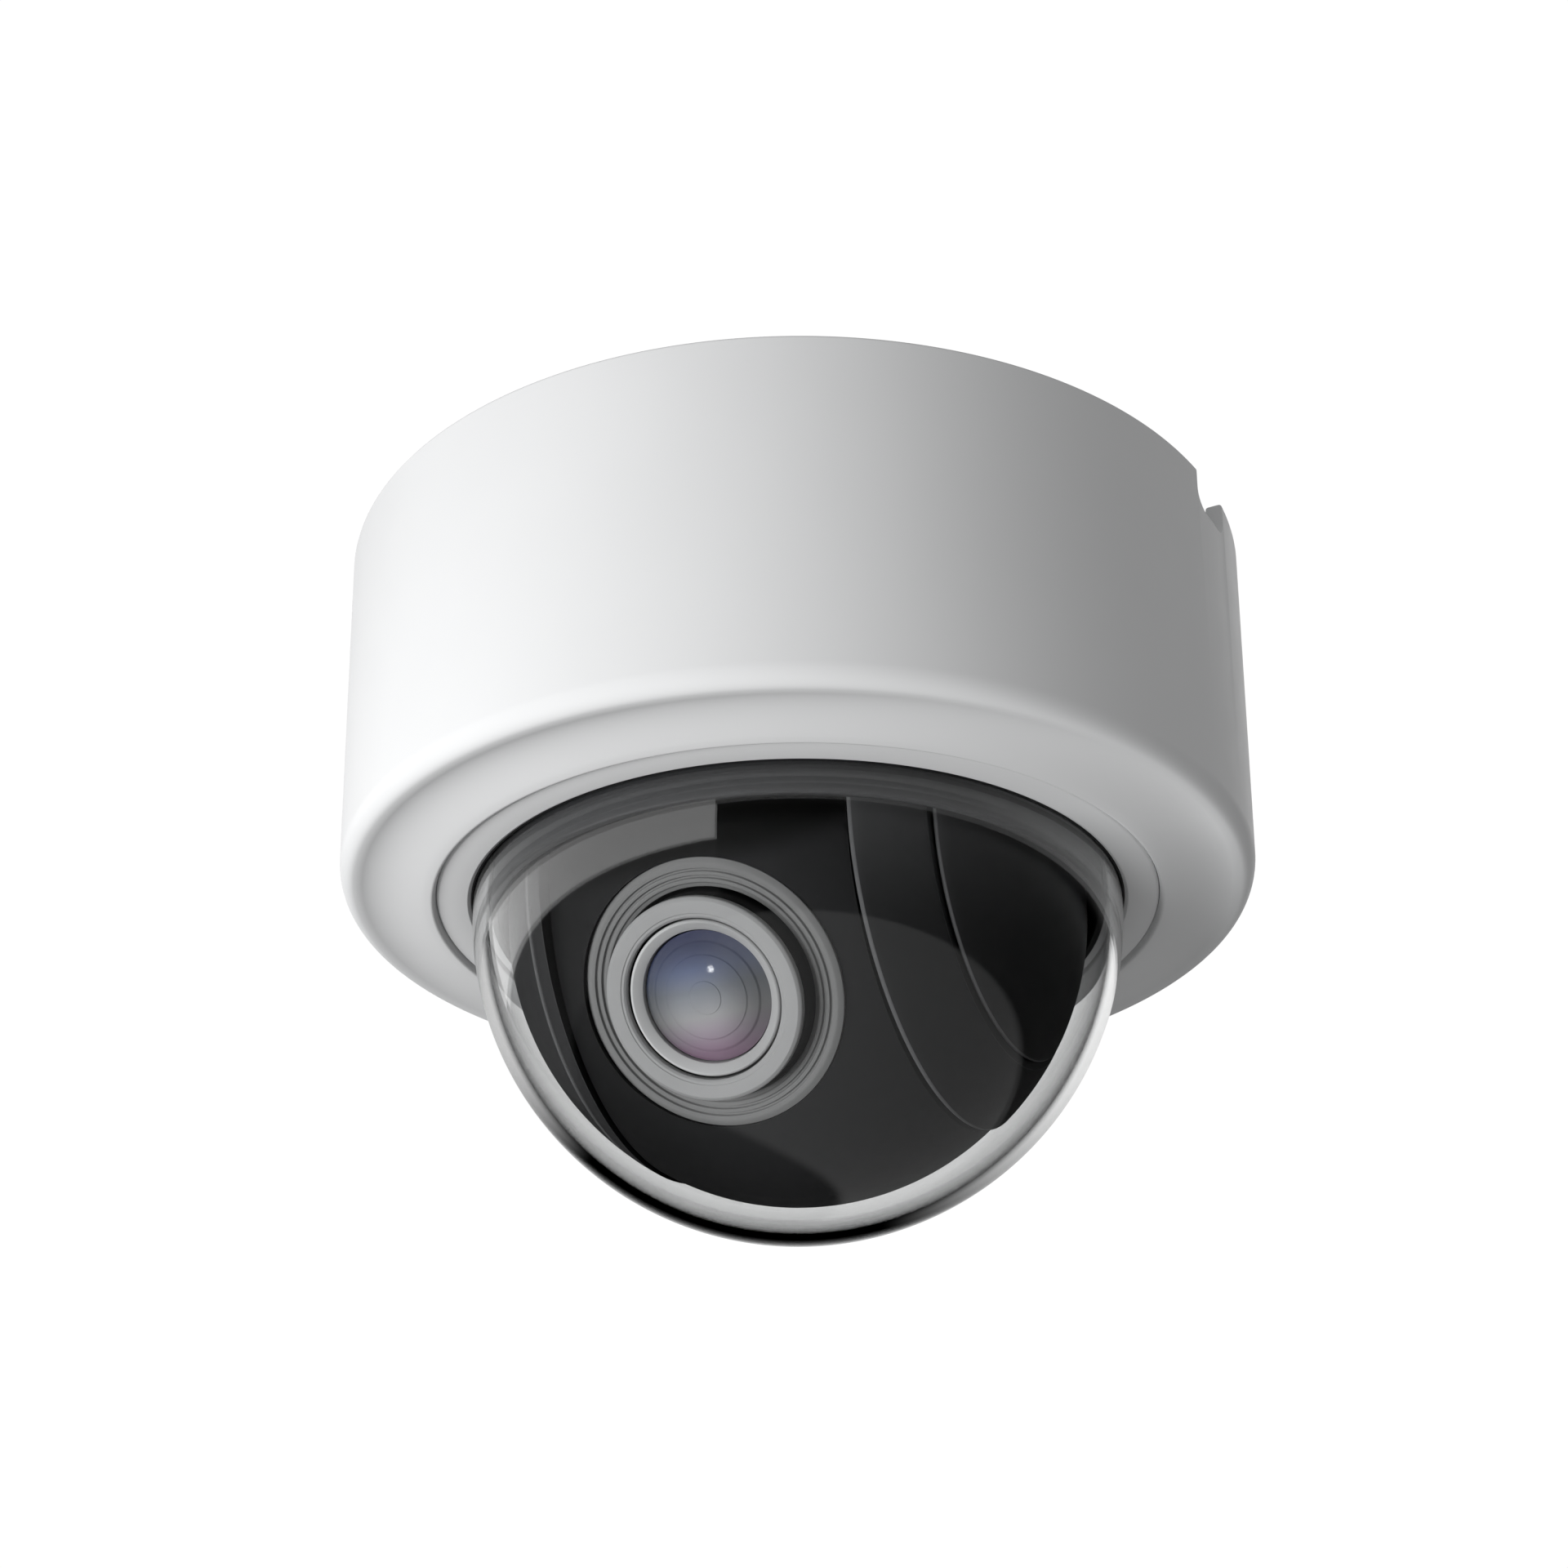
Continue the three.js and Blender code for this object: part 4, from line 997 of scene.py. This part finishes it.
def make_lens():
    inner = BARREL_R + 0.5
    rim = BEZEL_R + 0.25
    bezel = [(inner, 31.4), (rim, 31.4), (rim, 34.35, 0.15), (17.0, 34.75, 0.7)]
    bezel = grooved(bezel, (16.15, 15.25), 0.22, 0.35)
    bezel += [(14.55, 34.75, 0.15), (14.4, 34.5, 0.1), (inner, 34.35, 0.2)]
    put(turned("lens_surround", bezel, LENS, 200, True, 0.1), "camera_ball", GREY, "lens_bezel")
    low = BARREL_FRONT + 0.3
    trim = [(10.6, low), (BARREL_R, low), (BARREL_R, low + 0.9, 0.35), (12.9, low + 1.2, 0.2),
            (11.3, low + 1.2, 0.1), (11.2, low + 1.1, 0.05), (10.9, low + 1.1, 0.1),
            (10.6, low + 0.9, 0.15)]
    put(turned("lens_trim", trim, LENS, 200, True, 0.1), "camera_ball", SILVER, "lens_trim_ring")
    front = [(9.1, 31.2), (10.3, 31.2), (10.3, 37.3, 0.3), (9.95, 37.5, 0.2),
             (8.8, 36.6, 0.2), (8.75, 35.2, 0.1), (9.1, 34.8, 0.1)]
    # Front ring with painted light, lighter on its left.
    put(turned("lens_retainer", front, LENS, 200, True, 0.15), "camera_ball", RING_PAINTED_LIGHT,
        "lens_front_ring")
    glass = [(0, 31.4), (8.4, 31.4), (8.6, 31.6), *terraced(dome(8.6, 36.3, 37.4, 36), 36.3)]
    # Front glass with painted reflections, highlight and shade in its colour.
    put(make("lens_front_glass", spin(glass, 200, False), LENS), "camera_ball", LENS_PAINTED_REFLECTIONS,
        "front_lens")
    barrel = [(9.5, -13), (BARREL_R, -13), (BARREL_R, BARREL_FRONT), (10.6, BARREL_FRONT),
              (10.6, 30.9), (11, 30.9), (11, -11), (9.5, -11)]
    tube = turned("lens_tube", barrel, LENS, 160, True, 0.15)
    baffle = [(7.9, 30.4), (8.7, 31.1), (10.5, 30.7), (10.5, 22.5), (6.6, 22.5), (6.6, 23.1),
              (7.4, 27.0)]
    stop = turned("baffle", baffle, LENS, 96, True, 0.1)
    put(tube, "camera_ball", FLOCK, "lens_barrel")
    put(stop, "camera_ball", FLOCK)
    for name, low, high in (("zoom_group", 8, 16), ("focus_group", -6, 0)):
        middle = (low + high) / 2
        holder = ring(f"{name}_carrier", 7.6, 10.6, low, high, LENS)
        put(holder, name, BLACK, name)
        disc = [(0, middle - 1.5), (7.5, middle - 1.5), (7.5, middle + 1.2),
                *dome(7.5, middle + 1.2, middle + 2.4, 12)]
        lens = make(f"{name}_glass", spin(disc, 72, False), LENS)
        put(lens, name, GLASS)


def terraced(cap, edge):
    """A cap's points with shallow turned steps where the elements behind it end."""
    out, drop = [(8.6, edge - 0.25)], 0.25
    for r, z in cap:
        if any(out[-1][0] > turned_at >= r for turned_at in (7.4, 5.6, 2.2)):
            out.append((r + 0.06, z - drop))
            drop -= 0.07
        out.append((r, z - drop))
    return out


def dome(radius, base, peak, steps):
    """Points on a spherical cap from its edge to its peak, without the edge itself."""
    rise = peak - base
    sphere = (radius ** 2 + rise ** 2) / (2 * rise)
    radii = [radius * (1 - i / steps) for i in range(1, steps + 1)]
    return [(r, peak - sphere + math.sqrt(sphere ** 2 - r ** 2)) for r in radii]


# ---- Camera, lights and stage ----


def make_camera():
    distance, elevation = 407.3, math.radians(25.225)
    target = Vector((-1.84, 0, FACE_Z + 19.6))
    place = Vector((0, -distance * math.cos(elevation), FACE_Z - distance * math.sin(elevation)))
    camera = bpy.data.objects.new("camera", bpy.data.cameras.new("camera"))
    camera.data.sensor_width = 36
    camera.data.lens = 65.98
    camera.data.clip_start = 0.01
    look = (target - place).to_track_quat("-Z", "Y").to_matrix().to_4x4()
    roll = rotation(-0.33, "Z")
    camera.matrix_world = Matrix.Translation(place * MM) @ look @ roll
    show(camera)
    bpy.context.scene.camera = camera


def softbox(name, place, aim, size, power):
    """A large soft lamp, too big and even to show as a shape in gloss or clear plastic."""
    lamp = bpy.data.lights.new(name, "AREA")
    lamp.shape = "RECTANGLE"
    lamp.size, lamp.size_y = size
    lamp.energy = power
    holder = bpy.data.objects.new(name, lamp)
    away = Vector(place) - Vector(aim)
    look = away.to_track_quat("Z", "Y").to_matrix().to_4x4()
    holder.matrix_world = Matrix.Translation(place) @ look
    holder.visible_glossy = False
    holder.visible_transmission = False
    holder.visible_camera = False
    show(holder)


class Formula:
    """Small sums of shader values, for the studio's surroundings."""

    def __init__(self, tree):
        self.tree = tree

    def feed(self, sockets, values):
        for socket, value in zip(sockets, values):
            if isinstance(value, (int, float)):
                socket.default_value = value
            else:
                self.tree.links.new(value, socket)

    def op(self, kind, *values):
        made = self.tree.nodes.new("ShaderNodeMath")
        made.operation = kind
        self.feed(made.inputs, values)
        return made.outputs["Value"]

    def ramp(self, value, start, end, low=0.0, high=1.0):
        made = self.tree.nodes.new("ShaderNodeMapRange")
        made.interpolation_type = "SMOOTHSTEP"
        self.feed(made.inputs, (value, start, end, low, high))
        return made.outputs["Result"]

    def mix(self, share, first, second):
        """first where share is 0 and second where it is 1."""
        made = self.tree.nodes.new("ShaderNodeMix")
        self.feed([made.inputs[name] for name in ("Factor", "A", "B")], (share, first, second))
        return made.outputs["Result"]


def make_world():
    """The studio: white to look at and through, dim for soft light, and in gloss a few panels."""
    world = bpy.data.worlds.new("studio")
    bpy.context.scene.world = world
    world.use_nodes = True
    tree = world.node_tree
    form = Formula(tree)
    op, ramp, mix = form.op, form.ramp, form.mix
    sight = tree.nodes.new("ShaderNodeTexCoord").outputs["Generated"]
    parts = tree.nodes.new("ShaderNodeSeparateXYZ")
    tree.links.new(sight, parts.inputs["Vector"])
    x, y, z = (parts.outputs[axis] for axis in "XYZ")
    path = tree.nodes.new("ShaderNodeLightPath").outputs

    # Seen by reflection in the bubble's outside and in the housing.
    ahead = op("MULTIPLY_ADD", z, VIEW_Z, op("MULTIPLY", y, VIEW_Y))
    forward = ramp(ahead, 0.8, 0.86)
    off = op("MAXIMUM", op("MULTIPLY_ADD", ahead, op("MULTIPLY", ahead, -1.0), 1.0), 0.0001)
    round_about = op("MULTIPLY", x, op("INVERSE_SQRT", off))
    sides = op("ADD", ramp(round_about, 0.25, 1.05, 0.0, 0.95),
               ramp(round_about, -0.65, -0.95, 0.0, 0.62))
    straight = ramp(ahead, 0.925, 1.02, 0.0, 0.95)
    above = ramp(z, 0.26, 0.42, 0.0, 0.3)
    behind = op("MAXIMUM", op("MULTIPLY", forward, sides), straight)
    left = op("MULTIPLY", op("GREATER_THAN", op("SUBTRACT", y, op("MULTIPLY", x, 1.96)), 0),
              op("LESS_THAN", op("ADD", x, y), 0))
    slope = op("MULTIPLY_ADD", x, 0.3, z)
    panel = op("MULTIPLY", ramp(z, 0.085, 0.1), ramp(slope, 0.25, 0.22, 0.0, PANEL_GLOW))
    wall = ramp(z, -0.35, -0.34, 0.0, WALL_GLOW)
    side = op("MULTIPLY_ADD", y, 0.798, op("MULTIPLY", x, -0.461))
    inside = op("MULTIPLY", ramp(x, -0.6, -0.4),
                ramp(op("MULTIPLY_ADD", z, -0.704, side), 1.01, 0.98))
    under = op("MULTIPLY", ramp(z, -0.36, -0.385, 0.0, FLOOR_GLOW), inside)
    panels = op("MULTIPLY", left, op("MAXIMUM", panel, wall))
    outer = op("ADD", op("MAXIMUM", panels, op("MAXIMUM", above, behind)), under)

    # Seen by reflection in what is inside the bubble: the soft key and a small bright spot.
    key = vector_op(tree, "DOT_PRODUCT", sight, KEY_TOWARD)
    spot = vector_op(tree, "DOT_PRODUCT", sight, SPOT_TOWARD)
    inner = op("ADD", ramp(key, 0.35, 0.95, 0.04, 0.9), ramp(spot, 0.9991, 0.9997, 0.0, SPOT_GLOW))

    deep = op("GREATER_THAN", path["Transmission Depth"], 3.5)
    gloss = mix(deep, outer, inner)
    mirrored = op("GREATER_THAN", path["Glossy Depth"], 0.5)
    sharp_view = mix(mirrored, BACKDROP, gloss)
    direct = op("MAXIMUM", path["Is Glossy Ray"], path["Is Transmission Ray"])
    early = op("LESS_THAN", path["Diffuse Depth"], 0.5)
    level = mix(op("MULTIPLY", direct, early), AMBIENT, sharp_view)
    seen = mix(path["Is Camera Ray"], level, 1.02)
    tree.links.new(seen, tree.nodes["Background"].inputs["Strength"])
    tree.nodes["Background"].inputs["Color"].default_value = (1, 1, 1, 1)


def make_stage():
    aim = (0, 0, -0.05)
    softbox("key_left", (-1.14, -0.74, -0.68), aim, (0.85, 0.85), 30.5)
    softbox("back_top", (0.3, 0.9, 0.7), aim, (0.8, 0.5), 7.0)
    make_world()
    bpy.context.scene.view_settings.view_transform = "Standard"
    bm = bmesh.new()
    bmesh.ops.create_grid(bm, x_segments=1, y_segments=1, size=4000,
                          matrix=Matrix.Translation((0, 0, -900)))
    floor = make("floor", bm, ROOT)
    paint = surface("floor_paint", (0.82, 0.82, 0.81), 0.7, grain=40, depth=0.0002, mottle=0.01)
    shader = paint.node_tree.nodes["Principled BSDF"]
    shader.inputs["Emission Color"].default_value = (1, 1, 1, 1)
    shader.inputs["Emission Strength"].default_value = 0.4
    floor.data.materials.append(paint)
    for ray in ("glossy", "transmission", "diffuse"):
        setattr(floor, f"visible_{ray}", False)


for build in (make_camera, make_stage, make_housing, make_bubble_ring, make_bubble, make_liner,
              make_mounting_plate, make_chassis, make_gland, make_shell_screws,
              make_card_slot_and_switch, make_main_board, make_pan_drive, make_turntable,
              make_tilt_drive, make_fork, make_ball, make_tilt_frame, make_sensor_stack,
              make_lens):
    build()
